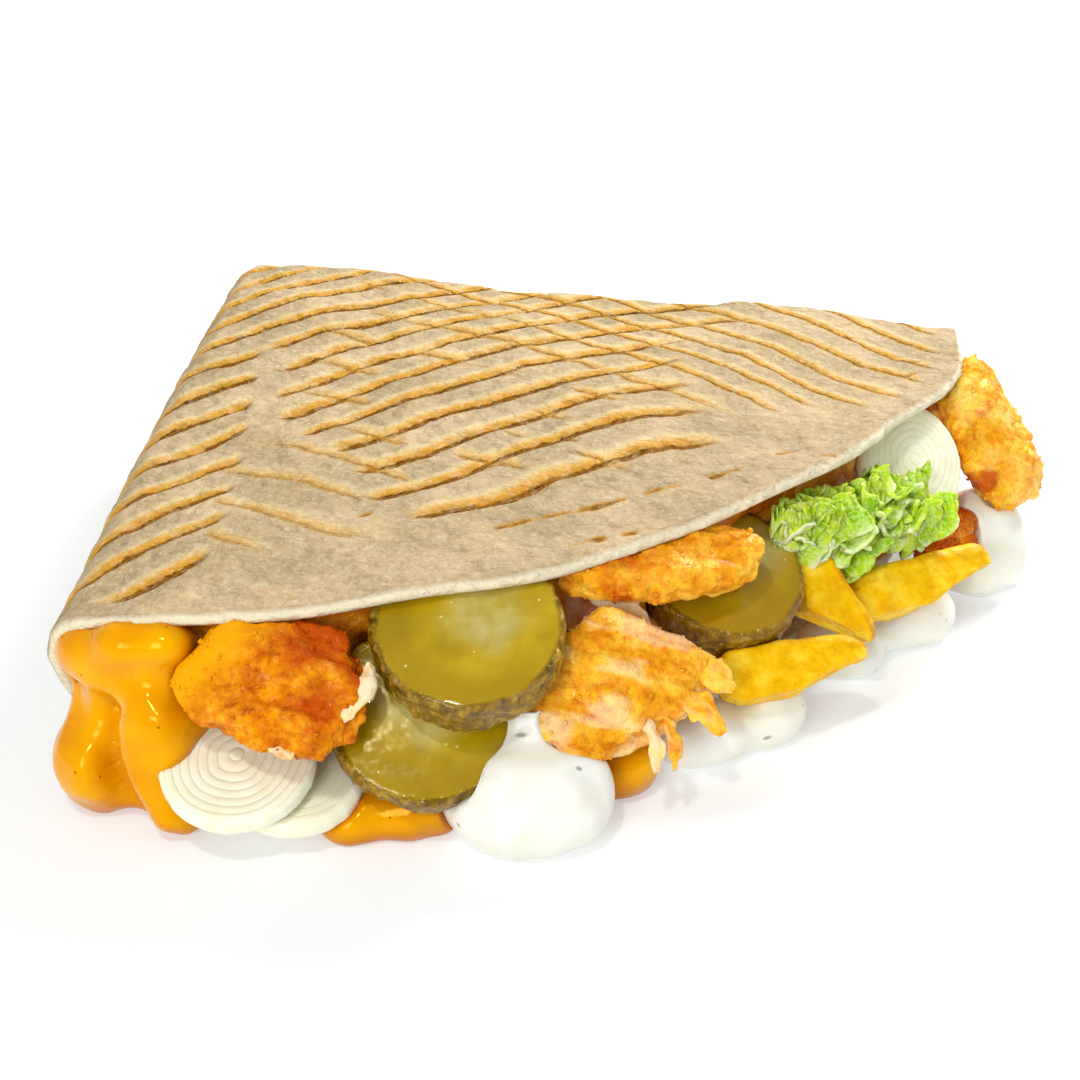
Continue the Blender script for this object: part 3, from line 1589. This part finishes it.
@dataclass
class Strip:
    """A torn strip of meat beside a piece: a path in the piece's own axes."""

    path: tuple[tuple[float, float, float], ...]
    width: float
    pale: float = 0.6
    gold: float = 1.0
    thickness: float = 1.3

    def surface(self, centre: tuple[float, float, float], look: tuple[float, ...], seed: int) -> Surface:
        """The strip as a closed ribbon of fibres with frayed ends.

        Args:
            centre: the piece's centre, in the drawing frame.
            look: the way that the piece looks.
            seed: which fibres it has.

        Returns:
            The ribbon, in the row frame.
        """
        rows, around = 46, 28
        knots = np.array(self.path)
        t = np.linspace(0, len(knots) - 1, rows)
        path = np.stack([np.interp(t, np.arange(len(knots)), knots[:, k]) for k in range(3)], axis=1)
        for _ in range(10):
            path[1:-1] = (path[:-2] + 2 * path[1:-1] + path[2:]) / 4
        tangent = np.gradient(path, axis=0)
        tangent /= np.linalg.norm(tangent, axis=1, keepdims=True)
        side = np.cross(np.array([0.0, 0.0, 1.0]), tangent)
        side /= np.linalg.norm(side, axis=1, keepdims=True)
        out = np.cross(tangent, side)
        share = np.linspace(0, 1, rows)
        fray = 1.0 + 0.25 * noise(np.column_stack([share * 7, share * 0, share * 0 + seed]), 1.0, seed)
        taper = np.sin(math.pi * np.clip(share, 0.03, 0.97)) ** 0.45
        half = self.width / 2 * taper * fray
        angle = np.linspace(0, 2 * math.pi, around, endpoint=False)
        across = half[:, None] * np.cos(angle)
        depth = self.thickness / 2 * np.clip(half / self.width * 2, 0.2, 1.0)[:, None] * np.sin(angle)
        points = path[:, None] + side[:, None] * across[..., None] + out[:, None] * depth[..., None]
        ends = np.stack([path[0], path[-1]])
        flat = np.concatenate([points.reshape(-1, 3), ends])
        index = np.arange(rows * around).reshape(rows, around)
        after = np.roll(index, -1, axis=1)
        one = np.stack([index[:-1], after[:-1], after[1:]], axis=-1).reshape(-1, 3)
        two = np.stack([index[:-1], after[1:], index[1:]], axis=-1).reshape(-1, 3)
        first = np.stack([after[0], index[0], np.full(around, rows * around)], axis=-1)
        last = np.stack([index[-1], after[-1], np.full(around, rows * around + 1)], axis=-1)
        faces = np.concatenate([one, two, first, last])
        ribbon = Surface(flat @ facing(*look).T + np.array(centre) + SHIFT, faces)
        lanes = np.concatenate([across.ravel(), [0, 0]])
        runs = np.concatenate([np.repeat(share, around), [0, 1]]) * 5
        fibres = noise(np.column_stack([lanes, runs, lanes * 0 + seed]), 0.8, seed)
        ribbon.swell(0.3 * fibres)
        count = len(ribbon.points)
        ribbon.values["pale"] = np.clip(self.pale + 0.35 * fibres, 0.0, 1.0)
        ribbon.values["char"] = np.full(count, 0.1)
        ribbon.values["gold"] = np.full(count, self.gold)
        ribbon.values["sauce"] = np.zeros(count)
        return ribbon


@dataclass
class ChickenPiece(Morsel):
    """A torn slice of roast chicken, with its grain along its own length."""

    char: float = 0.3
    pale: float = 0.0
    gold: float = 0.5
    fibres: float = 0.25  # mm that the fibres stand out
    grit: float = 0.12  # mm that its crust stands out
    red_side: tuple[float, float] = (0.0, 0.0)  # way along and across towards its red-brown side
    grain_turn: float = 0.0  # degrees from its length
    sauce_corner: float = 0.0
    strips: tuple[Strip, ...] = ()
    patches: tuple[Patch, ...] = ()

    def finish(self) -> Finish:
        """Roast chicken."""
        return RoastChicken()

    def carve(self, shape: Surface) -> None:
        """Crags, fibres, flaky edges, crumbs and torn strips.

        Args:
            shape: the softened form.
        """
        place = self.local(shape.points)
        turn = math.radians(self.grain_turn)
        cos, sin = math.cos(turn), math.sin(turn)
        lengthwise = place @ np.array([[cos, -sin, 0], [sin, cos, 0], [0, 0, 1]])
        still = np.zeros(len(place))
        bent = lengthwise + 1.8 * np.column_stack([still, noise(place, 9.0, self.seed + 8), still])
        # Real fibres are finer than a tenth of a millimetre, so bundles of them are drawn.
        stretched = bent * [0.09, 1.0, 1.0]
        fibres = noise(stretched, 1.1, self.seed) + 0.5 * noise(stretched, 0.6, self.seed + 1)
        fibres *= 0.5 + 0.5 * smooth_step(noise(place, 6.0, self.seed + 11), -0.4, 0.4)
        fibres += 1.2 * noise(stretched * [1.6, 0.3, 0.3], 1.2, self.seed + 9)
        crags = rough_noise(place, 4.5, 3, self.seed + 2)
        flakes = np.abs(noise(bent * [0.35, 1.0, 1.0], 3.4, self.seed + 4))
        smoothness = self.sauce_corner * smooth_step(place @ np.array([-0.85, 0.5, 0.0]), 4.0, 11.0)
        grit = rough_noise(place, 1.3, 2, self.seed + 10)
        relief = self.fibres * fibres + 0.4 * crags - 0.6 * (1.0 - flakes) ** 4 + self.grit * grit
        shape.swell((0.3 + relief) * (1.0 - 0.85 * smoothness))
        sideways = noise(place * [1.0, 1.0, 0.25], 3.6, self.seed + 6)
        sideways += 0.6 * noise(place * [1.0, 1.0, 0.3], 1.7, self.seed + 7)
        extent = np.abs(place).max(0) + 1e-6
        rim = smooth_step(np.linalg.norm(place / extent * [1, 1, 0], axis=1), 0.75, 1.0)
        plane = facing(*self.look)[:, :2]
        outward = place[:, :2] / (np.linalg.norm(place[:, :2], axis=1, keepdims=True) + 1e-6)
        ragged = 0.9 * sideways * rim * (1 - smoothness)
        shape.points = shape.points + (outward * ragged[:, None]) @ plane.T
        blotches = rough_noise(place, 8.0, 3, self.seed + 5)
        pits = np.clip(-crags, 0.0, 1.0) + 0.5 * (1.0 - flakes) ** 4
        reddened = self.char + 0.5 * blotches + 0.25 * pits + place[:, :2] @ np.array(self.red_side)
        for patch in self.patches:
            from_patch = np.hypot(place[:, 0] - patch.along, place[:, 1] - patch.across) + 1.5 * crags
            reddened += patch.strength * np.exp(-((from_patch / patch.radius) ** 2))
        shape.values["char"] = np.clip(reddened, 0.0, 1.3) * (1 - smoothness)
        shape.values["pale"] = np.clip(self.pale * smooth_step(fibres + blotches, 0.1, 1.1), 0.0, 1.0)
        shape.values["gold"] = np.clip(self.gold + 0.2 * fibres, 0.0, 1.0)
        shape.values["sauce"] = smoothness
        shape.add(crumbs(260, shape, 0.36, self.seed))
        for k, strip in enumerate(self.strips):
            shape.add(strip.surface(self.centre, self.look, self.seed + 70 + k))


@dataclass
class PickleSlice(Morsel):
    """A slice across a gherkin: domed wet flesh in a warty skin."""

    radius: float = 16.4
    thickness: float = 8.5
    shade: float = 0.0
    seeds_at: tuple[float, float] = (3.0, 4.0)
    voxel: float = 0.42

    def finish(self) -> Finish:
        """Pickled gherkin."""
        return Gherkin()

    def carve(self, shape: Surface) -> None:
        """Seed dimples on the face and warts on the skin.

        Args:
            shape: the softened form.
        """
        place = self.local(shape.points)
        from_middle = np.hypot(place[:, 0], place[:, 1])
        height = np.abs(place[:, 2]) / (self.thickness / 2)
        wavy = from_middle + 0.5 * noise(place, 3.0, self.seed)
        rind = smooth_step(wavy, self.radius - 1.5, self.radius - 0.5)
        warts = np.clip(noise(place, 1.7, self.seed + 1), 0.0, 1.0)
        warts += 0.5 * noise(place, 0.9, self.seed + 2)
        dimples = noise(place, 3.3, self.seed + 3) * smooth_step(self.radius - from_middle, 3.0, 8.0)
        dome = (1.0 - (from_middle / self.radius) ** 2) * 0.6
        wobble = 0.6 * noise(place * [1, 1, 0.2], 7.0, self.seed + 4)
        relief = rind * (0.5 * warts + wobble) + (1.0 - rind) * (dome + 0.08 * dimples)
        shape.swell(relief)
        wavy = from_middle + 0.25 * noise(place, 2.0, self.seed + 6)
        shape.values["rind"] = smooth_step(wavy, self.radius - 1.3, self.radius - 0.8)
        from_seeds = np.hypot(place[:, 0] - self.seeds_at[0], place[:, 1] - self.seeds_at[1])
        from_seeds += 2.5 * noise(place, 5.0, self.seed + 5)
        shape.values["core"] = 1.0 - smooth_step(from_seeds, 2.0, 11.0)
        towards_rim = from_middle - 0.25 * (place[:, 0] + place[:, 1])
        shape.values["edge"] = smooth_step(towards_rim, self.radius - 8.0, self.radius - 0.5)
        shape.values["shade"] = self.shade * (0.6 + 0.4 * (1.0 - smooth_step(height, 0.8, 1.0)))


@dataclass
class OnionSlice(Morsel):
    """A slice across an onion, with a step at each layer."""

    radius: float = 13.6
    layers: int = 8
    clarity: float = 1.0  # how plainly its layers show
    voxel: float = 0.42
    rounds: int = 4

    def finish(self) -> Finish:
        """Raw onion."""
        return RawOnion()

    def carve(self, shape: Surface) -> None:
        """Rings that wander a little, each with a shallow groove.

        Args:
            shape: the softened form.
        """
        place = self.local(shape.points)
        angle = np.arctan2(place[:, 1], place[:, 0])
        from_middle = np.hypot(place[:, 0], place[:, 1])
        wander = 0.3 * np.sin(2 * angle + self.seed) + 0.12 * np.sin(5 * angle + 2 * self.seed)
        wander *= smooth_step(from_middle, 1.0, 5.0)
        ring = ((from_middle + wander) / self.radius) ** 1.25 * self.layers + 0.55
        face = smooth_step(self.radius - from_middle, 0.4, 1.0)
        shape.values["ring"] = ring
        shape.values["face"] = face * self.clarity
        part = ring - np.floor(ring)
        groove = np.exp(-((np.minimum(part, 1 - part) / 0.1) ** 2))
        steps = self.clarity * (0.1 * np.sin(math.pi * part) - 0.1 * groove)
        lift = face * (steps + 0.3 * (1 - from_middle / self.radius))
        shape.swell(lift + 0.12 * noise(place, 3.0, self.seed))


@dataclass
class Chip(Morsel):
    """A chip: a blocky stick of potato with flat cut faces and crisp edges."""

    size: tuple[float, float, float] = (14.5, 6.4, 5.4)
    taper: float = 0.58
    cut: float = 1.5
    droop: float = 0.0  # how far its tip hangs, in millimetres
    rounds: int = 2
    voxel: float = 0.4

    def finish(self) -> Finish:
        """Fried potato."""
        return FriedPotato()

    def carve(self, shape: Surface) -> None:
        """Fine blisters, and edges that stand out and brown.

        Args:
            shape: the softened form.
        """
        narrow = 1.0 - self.taper * (self.local(shape.points)[:, :1] / self.size[0] + 1.0) / 2
        slimmer = np.hstack([np.ones_like(narrow), narrow, narrow])
        place = self.local(shape.points) / (np.array(self.size) * slimmer)
        section = np.abs(place[:, 1:])
        floor = -1.0 + self.cut * np.clip(place[:, 0] + 0.15, 0.0, None) / 1.15
        lift = np.maximum(floor - place[:, 1], 0.0) * self.size[1] * narrow[:, 0]
        hang = self.droop * np.clip((place[:, 0] + 1.0) / 2.0, 0.0, 1.0) ** 2
        up = facing(*self.look)[:, 1]
        shape.points = shape.points + (lift - hang)[:, None] * up
        shape.relax(1)
        edges = smooth_step(section.min(1), 0.5, 0.85)
        tips = smooth_step(np.abs(place[:, 0]), 0.7, 1.0)
        blisters = rough_noise(shape.points, 2.2, 3, self.seed)
        relief = 0.16 * blisters + 0.5 * edges * (1 - 0.5 * tips)
        shape.swell(relief + 0.3 * noise(shape.points, 6.0, self.seed + 1))
        shape.values["edge"] = np.clip(0.6 * edges + 0.45 * tips + 0.15 * blisters, 0.0, 1.0)


class Sauce(Enum):
    """The two sauces."""

    CHEESE = "cheese"
    GARLIC = "garlic"


@dataclass
class SaucePool(Morsel):
    """Sauce that ran out of the mouth and set in soft lobes."""

    kind: Sauce = Sauce.CHEESE
    voxel: float = 0.6
    rounds: int = 3
    fill: float = 3.5
    drape: float = 0.7
    strokes: tuple[Stroke, ...] = ()
    lobes: tuple[Lobe, ...] = ()

    def finish(self) -> Finish:
        """Cheese sauce or garlic sauce."""
        return CheeseSauce() if self.kind is Sauce.CHEESE else GarlicSauce()

    def surface(self, nodes: dict[str, bpy.types.Object]) -> Surface:
        """The pool with its creases run together, and slow folds where it crept.

        Args:
            nodes: the frame's solids, by node.

        Returns:
            The pool, in the row frame.
        """
        shape = even(nodes[self.node].data.copy(), self.voxel).relax(self.rounds)
        for lobe in self.lobes:
            shape.add(ball(np.array(lobe.centre) + SHIFT, lobe.radii))
        shape = shape.filled(self.fill, self.voxel).relax(14)
        folds = noise(shape.points * [1.0, 1.0, 0.35], 5.5, self.seed)
        slow = noise(shape.points, 8.0, self.seed + 1)
        shape.swell(0.2 + self.drape * folds + 0.3 * slow)
        places = shape.points - SHIFT
        for stroke in self.strokes:
            nearest = gap_to_path(places, stroke.path)
            shape.swell(-stroke.depth * np.exp(-((nearest / stroke.radius) ** 2)))
        return shape.relax(3).above_table()


@dataclass
class FillingMass(Morsel):
    """The shreds that fill the pocket, seen between the pieces in the mouth."""

    voxel: float = 1.5
    rounds: int = 3

    def finish(self) -> Finish:
        """Roast chicken."""
        return RoastChicken()

    def carve(self, shape: Surface) -> None:
        """Shreds and crags all over.

        Args:
            shape: the softened form.
        """
        place = shape.points
        shreds = noise(place * [0.35, 1.0, 1.0], 2.4, self.seed)
        shreds += 0.6 * noise(place * [1.0, 0.4, 1.0], 2.0, self.seed + 1)
        shape.swell(-0.5 + 0.5 * shreds)
        blotches = rough_noise(place, 8.0, 3, self.seed + 5)
        shape.values["char"] = np.clip(0.45 + 0.5 * blotches, 0.0, 1.2)
        shape.values["pale"] = smooth_step(blotches, 0.5, 0.9) * 0.4
        shape.values["gold"] = np.full(len(place), 0.3)
        shape.values["sauce"] = np.zeros(len(place))


@dataclass
class LettuceHeap:
    """Shredded frilly leaves: thin ruffled blades heaped over a small core."""

    node: str = "lettuce"
    blades: int = 34
    blade_net: tuple[int, int] = (60, 18)  # points along and across a blade
    free: float = 0.8  # share of the solid's half box that the blades fill freely
    ease: float = 0.35  # how much more of it they may reach, eased in
    start: tuple[float, float, float] = (42.0, -16.0, 35.0)
    end: tuple[float, float, float] = (74.0, 8.0, 29.5)
    seed: int = 12

    def blade(
        self, centre: np.ndarray, axes: np.ndarray, length: float, width: float, seed: int
    ) -> Surface:
        """One ruffled blade, closed, and a third of a millimetre thick at its frill.

        Args:
            centre: its middle, in the row frame.
            axes: its axes: along, up and out.
            length: along its frilled edge.
            width: from rib to frill.
            seed: which ruffle it has.

        Returns:
            The blade.
        """
        along, across = self.blade_net
        u, v = np.meshgrid(np.linspace(-1, 1, along), np.linspace(0, 1, across), indexing="ij")
        u, v = u.ravel(), v.ravel()
        frill = v**1.3
        flat = np.column_stack([u * length / 2, v * width, v * 0 + seed])
        ruffles = ((1.5, 8.0, 1.0), (1.1, 19.0, 2.3), (0.5, 37.0, 1.0))
        wave = frill * sum(size * np.sin(turns * u + start * seed) for size, turns, start in ruffles)
        crumple = 1.6 * noise(flat, 5.0, seed) + 0.9 * noise(flat, 2.4, seed + 1)
        crumple += 0.4 * noise(flat, 1.2, seed + 2)
        curl = 2.6 * (v - 0.5) ** 2 + 2.0 * np.sin(2.2 * u + seed)
        rim = flat * [1, 0, 1]
        ragged = frill * (1.6 * noise(rim, 2.2, seed + 3) + 0.8 * noise(rim, 0.9, seed + 4))
        end = np.clip(1.0 - u**6, 0.0, 1.0) ** 0.5
        x = u * length / 2 * (0.72 + 0.28 * v) + frill * 0.9 * np.sin(19.0 * u + 2.3 * seed + 1.5)
        x += 0.8 * noise(flat, 3.0, seed + 5)
        y = (v - 0.5) * width * (0.6 + 0.4 * end) + ragged + 0.7 * noise(flat, 3.4, seed + 6)
        z = wave + curl + crumple
        sheet = np.column_stack([x, y, z]) @ axes.T + centre
        index = np.arange(along * across).reshape(along, across)
        a, b, c, d = index[:-1, :-1], index[1:, :-1], index[1:, 1:], index[:-1, 1:]
        one = np.stack([a, b, c], axis=-1).reshape(-1, 3)
        two = np.stack([a, c, d], axis=-1).reshape(-1, 3)
        top = np.concatenate([one, two])
        middle = Surface(sheet, top)
        thick = middle.normals() * (0.17 + 0.25 * (1 - v[:, None]) ** 3)
        count = along * across
        ring = np.concatenate([index[:, 0], index[-1, 1:], index[-2::-1, -1], index[0, -2:0:-1]])
        after = np.roll(ring, -1)
        sides = np.concatenate([
            np.stack([ring, ring + count, after], axis=1),
            np.stack([after, ring + count, after + count], axis=1),
        ])
        points = np.concatenate([sheet + thick, sheet - thick])
        faces = np.concatenate([top, top[:, ::-1] + count, sides])
        uneven = 0.4 * noise(np.column_stack([u * 4, v * 4, v * 0]), 1.0, seed)
        rib = np.clip(0.45 - 3.0 * v + uneven, 0.0, 1.0)
        return Surface(points, faces, {"rib": np.tile(rib, 2)})

    def make(self, nodes: dict[str, bpy.types.Object]) -> None:
        """Builds the heap over the frame node's own softened core.

        Args:
            nodes: the frame's solids, by node.
        """
        low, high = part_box(self.node)
        heap = even(nodes[self.node].data.copy(), 0.7).relax(12)
        heap.swell(-1.6 + 0.8 * noise(heap.points, 3.0, 5))
        heap.values["rib"] = np.zeros(len(heap.points))
        draw = np.random.default_rng(self.seed)
        start, end = np.array(self.start), np.array(self.end)
        for k in range(self.blades):
            t = (k + 0.5) / self.blades
            centre = start * (1 - t) + end * t + SHIFT
            centre += draw.normal(0.0, [1.8, 1.8, 3.2])
            look = (-60 + draw.normal(0, 16), 38 + draw.normal(0, 18), draw.uniform(-50, 50))
            length, width = draw.uniform(8, 14), draw.uniform(6, 10)
            heap.add(self.blade(centre, facing(*look), length, width, int(draw.integers(1000))))
        limits = np.array([low, high]) / MM
        middle, half = limits.mean(0), np.diff(limits, axis=0)[0] / 2
        away = (heap.points - middle) / half
        past = np.abs(away) - self.free
        held = np.sign(away) * (self.free + self.ease * np.tanh(past / self.ease))
        heap.points = middle + half * np.where(past > 0.0, held, away)
        fitted(heap, "shredded_lettuce", CrispLettuce(), self.node)


# The studio


@dataclass(frozen=True)
class Lamp:
    """A square soft light: where it stands and its side in metres, and its power in watts."""

    name: str
    place: tuple[float, float, float]
    size: float
    power: float

    def make(self) -> None:
        """Adds the light, which points at the kebab."""
        data = bpy.data.lights.new(self.name, "AREA")
        data.size, data.energy = self.size, self.power
        lamp = bpy.data.objects.new(self.name, data)
        lamp.location = self.place
        lamp.rotation_euler = (-Vector(self.place)).to_track_quat("-Z", "Y").to_euler()
        bpy.context.scene.collection.objects.link(lamp)


@dataclass
class Studio:
    """A plain pale floor, soft light and the camera."""

    lens: float = 63.33
    sensor: float = 36.0
    distance: float = 365.0
    pitch: float = 31.0
    aim_height: float = 27.0
    floor_half: float = 4.0  # half of the floor's side, in metres
    floor_colour: str = "#ccd0d0"
    floor_glow: float = 0.39
    sky: float = 0.47
    lamps: tuple[Lamp, ...] = (
        Lamp("key", (0.4, 0.5, 0.5), 0.3, 8.0),
        Lamp("fill", (-0.35, -0.85, 0.5), 0.35, 4.5),
        Lamp("sparkle", (-0.12, -0.35, 0.6), 0.04, 1.1),
    )

    def camera(self) -> None:
        """A camera that looks down on the open side of the kebab."""
        pitch = math.radians(self.pitch)
        data = bpy.data.cameras.new("camera")
        data.lens, data.sensor_width = self.lens, self.sensor
        camera = bpy.data.objects.new("camera", data)
        back = np.array([0.0, -math.cos(pitch), math.sin(pitch)]) * self.distance
        camera.location = Vector((back + SHIFT + [0, 0, self.aim_height]) * MM)
        camera.rotation_euler = (math.pi / 2 - pitch, 0.0, 0.0)
        bpy.context.scene.collection.objects.link(camera)
        bpy.context.scene.camera = camera

    def make(self) -> None:
        """Sets up the floor, the lights and the camera."""
        mesh = bpy.data.meshes.new("floor")
        half = self.floor_half
        corners = [(-half, -half, 0), (half, -half, 0), (half, half, 0), (-half, half, 0)]
        mesh.from_pydata(corners, [], [(0, 1, 2, 3)])
        floor = bpy.data.objects.new("floor", mesh)
        paper = bpy.data.materials.new("white_paper")
        paper.use_nodes = True
        shader = paper.node_tree.nodes["Principled BSDF"]
        shader.inputs["Base Color"].default_value = linear(self.floor_colour)
        shader.inputs["Roughness"].default_value = 0.9
        shader.inputs["Specular IOR Level"].default_value = 0.1
        shader.inputs["Emission Color"].default_value = (1.0, 1.0, 1.0, 1.0)
        shader.inputs["Emission Strength"].default_value = self.floor_glow
        mesh.materials.append(paper)
        bpy.context.scene.collection.objects.link(floor)
        world = bpy.data.worlds.new("studio")
        world.use_nodes = True
        light = world.node_tree.nodes["Background"]
        light.inputs["Color"].default_value = (1.0, 1.0, 1.0, 1.0)
        light.inputs["Strength"].default_value = self.sky
        bpy.context.scene.world = world
        for lamp in self.lamps:
            lamp.make()
        bpy.context.scene.view_settings.view_transform = "Standard"
        self.camera()


def pieces() -> list[Morsel]:
    """Every piece in the mouth, with its place and the way that it looks.

    Returns:
        The pieces, from the filling outwards.
    """
    deep_run = ((-74.7, -51.0, 23.0), (-75.0, -53.5, 16.0), (-72.0, -54.5, 8.0), (-70.5, -55.0, 0.0))
    cheese_strokes = (
        Stroke(2.6, 5.0, deep_run),
        Stroke(5.0, 5.0, ((-88.0, -40.0, 24.0), (-82.0, -51.0, 23.0))),
        Stroke(2.2, -1.6, ((-71.5, -51.0, 21.0), (-69.0, -54.0, 13.0), (-64.5, -57.0, 5.0))),
        Stroke(2.6, -0.9, ((-79.0, -52.0, 14.0), (-80.0, -54.0, 8.0))),
        Stroke(2.6, -1.2, ((-64.0, -54.0, 24.0), (-63.0, -56.0, 10.0), (-61.0, -57.0, 3.0))),
        Stroke(5.0, -2.6, ((-84.0, -38.0, 29.0), (-72.0, -46.0, 34.0), (-58.0, -50.0, 37.0))),
    )
    left_strips = (
        Strip(((15.0, 6.5, 1.0), (15.6, 1.0, 1.6), (12.5, -4.5, 1.4)), 3.0, 0.75, thickness=2.0),
        Strip(((2.0, -10.0, 2.0), (6.5, -11.5, 2.4)), 3.0, 0.4),
    )
    middle_strips = (
        Strip(((-8.0, 13.5, -2.5), (-2.0, 13.0, -1.5), (4.0, 9.5, -1.0)), 5.0, 0.85),
        Strip(((6.0, -6.0, 3.5), (9.0, -10.0, 3.5), (10.5, -14.5, 2.0)), 2.8, 0.6),
        Strip(((9.5, -5.0, 3.0), (12.5, -9.0, 3.0), (13.5, -13.5, 1.5)), 2.4, 0.0, 0.6),
        Strip(((10.0, 5.0, 2.8), (16.0, 4.4, 2.6), (20.5, 3.0, 1.2)), 5.0, -0.1, 0.9, 2.0),
        Strip(((9.0, 0.0, 3.2), (16.0, -2.0, 2.8), (20.5, -5.0, 1.2)), 5.0, 0.0, 0.85, 2.0),
    )
    right_flap = Strip(
        ((9.0, 9.0, 0.0), (2.0, 11.5, -0.5), (-5.0, 14.5, -1.5), (-8.5, 13.5, -2.0)), 9.0, 0.0, 0.9, 3.5
    )
    chicken = [
        FillingMass("chicken_filling", seed=40),
        ChickenPiece(
            "chicken_left",
            (-44.4, -52.5, 30.5),
            (-96, 44, -8),
            seed=50,
            char=0.36,
            gold=0.06,
            fibres=0.05,
            grit=0.22,
            red_side=(0.02, 0.03),
            sauce_corner=1.0,
            strips=left_strips,
            patches=(Patch(5, 10, 6, 0.5), Patch(8, -3.5, 2.2, 0.7), Patch(-1, -10, 4, 0.3)),
        ),
        ChickenPiece(
            "chicken_middle",
            (13.2, -42.5, 25),
            (-78, 40, -22),
            seed=60,
            char=0.05,
            pale=0.4,
            gold=0.85,
            fibres=0.28,
            grain_turn=-4,
            red_side=(-0.02, 0.0),
            strips=middle_strips,
            cuts=(Cut(3, 9.6, 81), Cut(18.9, 7.6, 80), Cut(18.6, -3, 8)),
        ),
        ChickenPiece(
            "chicken_top",
            (21.8, -29.5, 40),
            (-64, 60, -12),
            seed=70,
            char=-0.05,
            gold=0.75,
            fibres=0.12,
            red_side=(-0.035, 0.0),
            cuts=(Cut(17.5, 0, -12),),
        ),
        ChickenPiece(
            "chicken_right",
            (92, 36.2, 30.6),
            (-58, 34, 97),
            seed=80,
            char=0.0,
            pale=0.1,
            gold=0.95,
            fibres=0.25,
            grain_turn=55,
            strips=(right_flap,),
            patches=(Patch(-9, 8, 4, 0.6),),
        ),
        ChickenPiece("chicken_end", (82.5, 54.5, 24), (-20, 12, 70), seed=90, char=0.4, gold=0.4),
        ChickenPiece("chicken_back", (83.5, 22.5, 14), (-50, 30, 10), seed=100, char=0.9, gold=0.0),
    ]
    slices = [
        PickleSlice("pickle_upper", (-12, -45.5, 35.2), (-92, 64), seed=110, radius=16.4, thickness=8.5),
        PickleSlice(
            "pickle_lower",
            (-19.6, -48, 20.8),
            (-86, 50),
            seed=120,
            radius=16.6,
            thickness=6.5,
            seeds_at=(0.0, 2.0),
        ),
        PickleSlice(
            "pickle_right", (33.4, -17.5, 28.6), (-72, 62), seed=130, radius=14.4, thickness=9, shade=0.3
        ),
        OnionSlice("onion_left", (-51.6, -53.4, 14.6), (-94, 71), seed=140, radius=13.6),
        OnionSlice(
            "onion_left_under", (-42.5, -50.5, 9), (-84, 78), seed=150, radius=12.6, layers=7, clarity=0.2
        ),
        OnionSlice("onion_right", (74, 22, 32), (-58, 40), seed=160, radius=12.2, clarity=0.6),
        Chip("chip_front", (45.5, -28, 18), (-80, 48, 14), seed=170, cut=1.25, droop=5.0),
        Chip(
            "chip_right", (73.8, 0.8, 17.4), (-62, 46, 5), seed=180, size=(17, 6, 5.2), cut=1.1, droop=3.0
        ),
        Chip("chip_upright", (53.5, -13, 21), (-66, 34, -62), seed=190, size=(11, 6, 5.2)),
    ]
    top_lobe = Lobe((-66.0, -44.0, 33.0), (8.0, 5.0, 4.0))
    sauces = [
        SaucePool("cheese_sauce_left", seed=200, strokes=cheese_strokes, lobes=(top_lobe,)),
        SaucePool("cheese_sauce_middle", seed=210),
        SaucePool("cheese_sauce_sliver", seed=220, fill=1.5),
    ]
    garlic_places = ("middle", "front", "side", "right")
    for seed, place in zip(range(230, 270, 10), garlic_places):
        sauces.append(SaucePool("garlic_sauce_" + place, seed=seed, kind=Sauce.GARLIC))
    return [*chicken, *slices, *sauces]


def main() -> None:
    """Builds the kebab and its studio."""
    logging.basicConfig(level=logging.INFO, format="%(message)s")
    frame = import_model()
    Studio().make()
    FoldedFlatbread().make()
    for piece in pieces():
        piece.make(frame["nodes"])
    LettuceHeap().make(frame["nodes"])


if __name__ == "__main__":
    main()
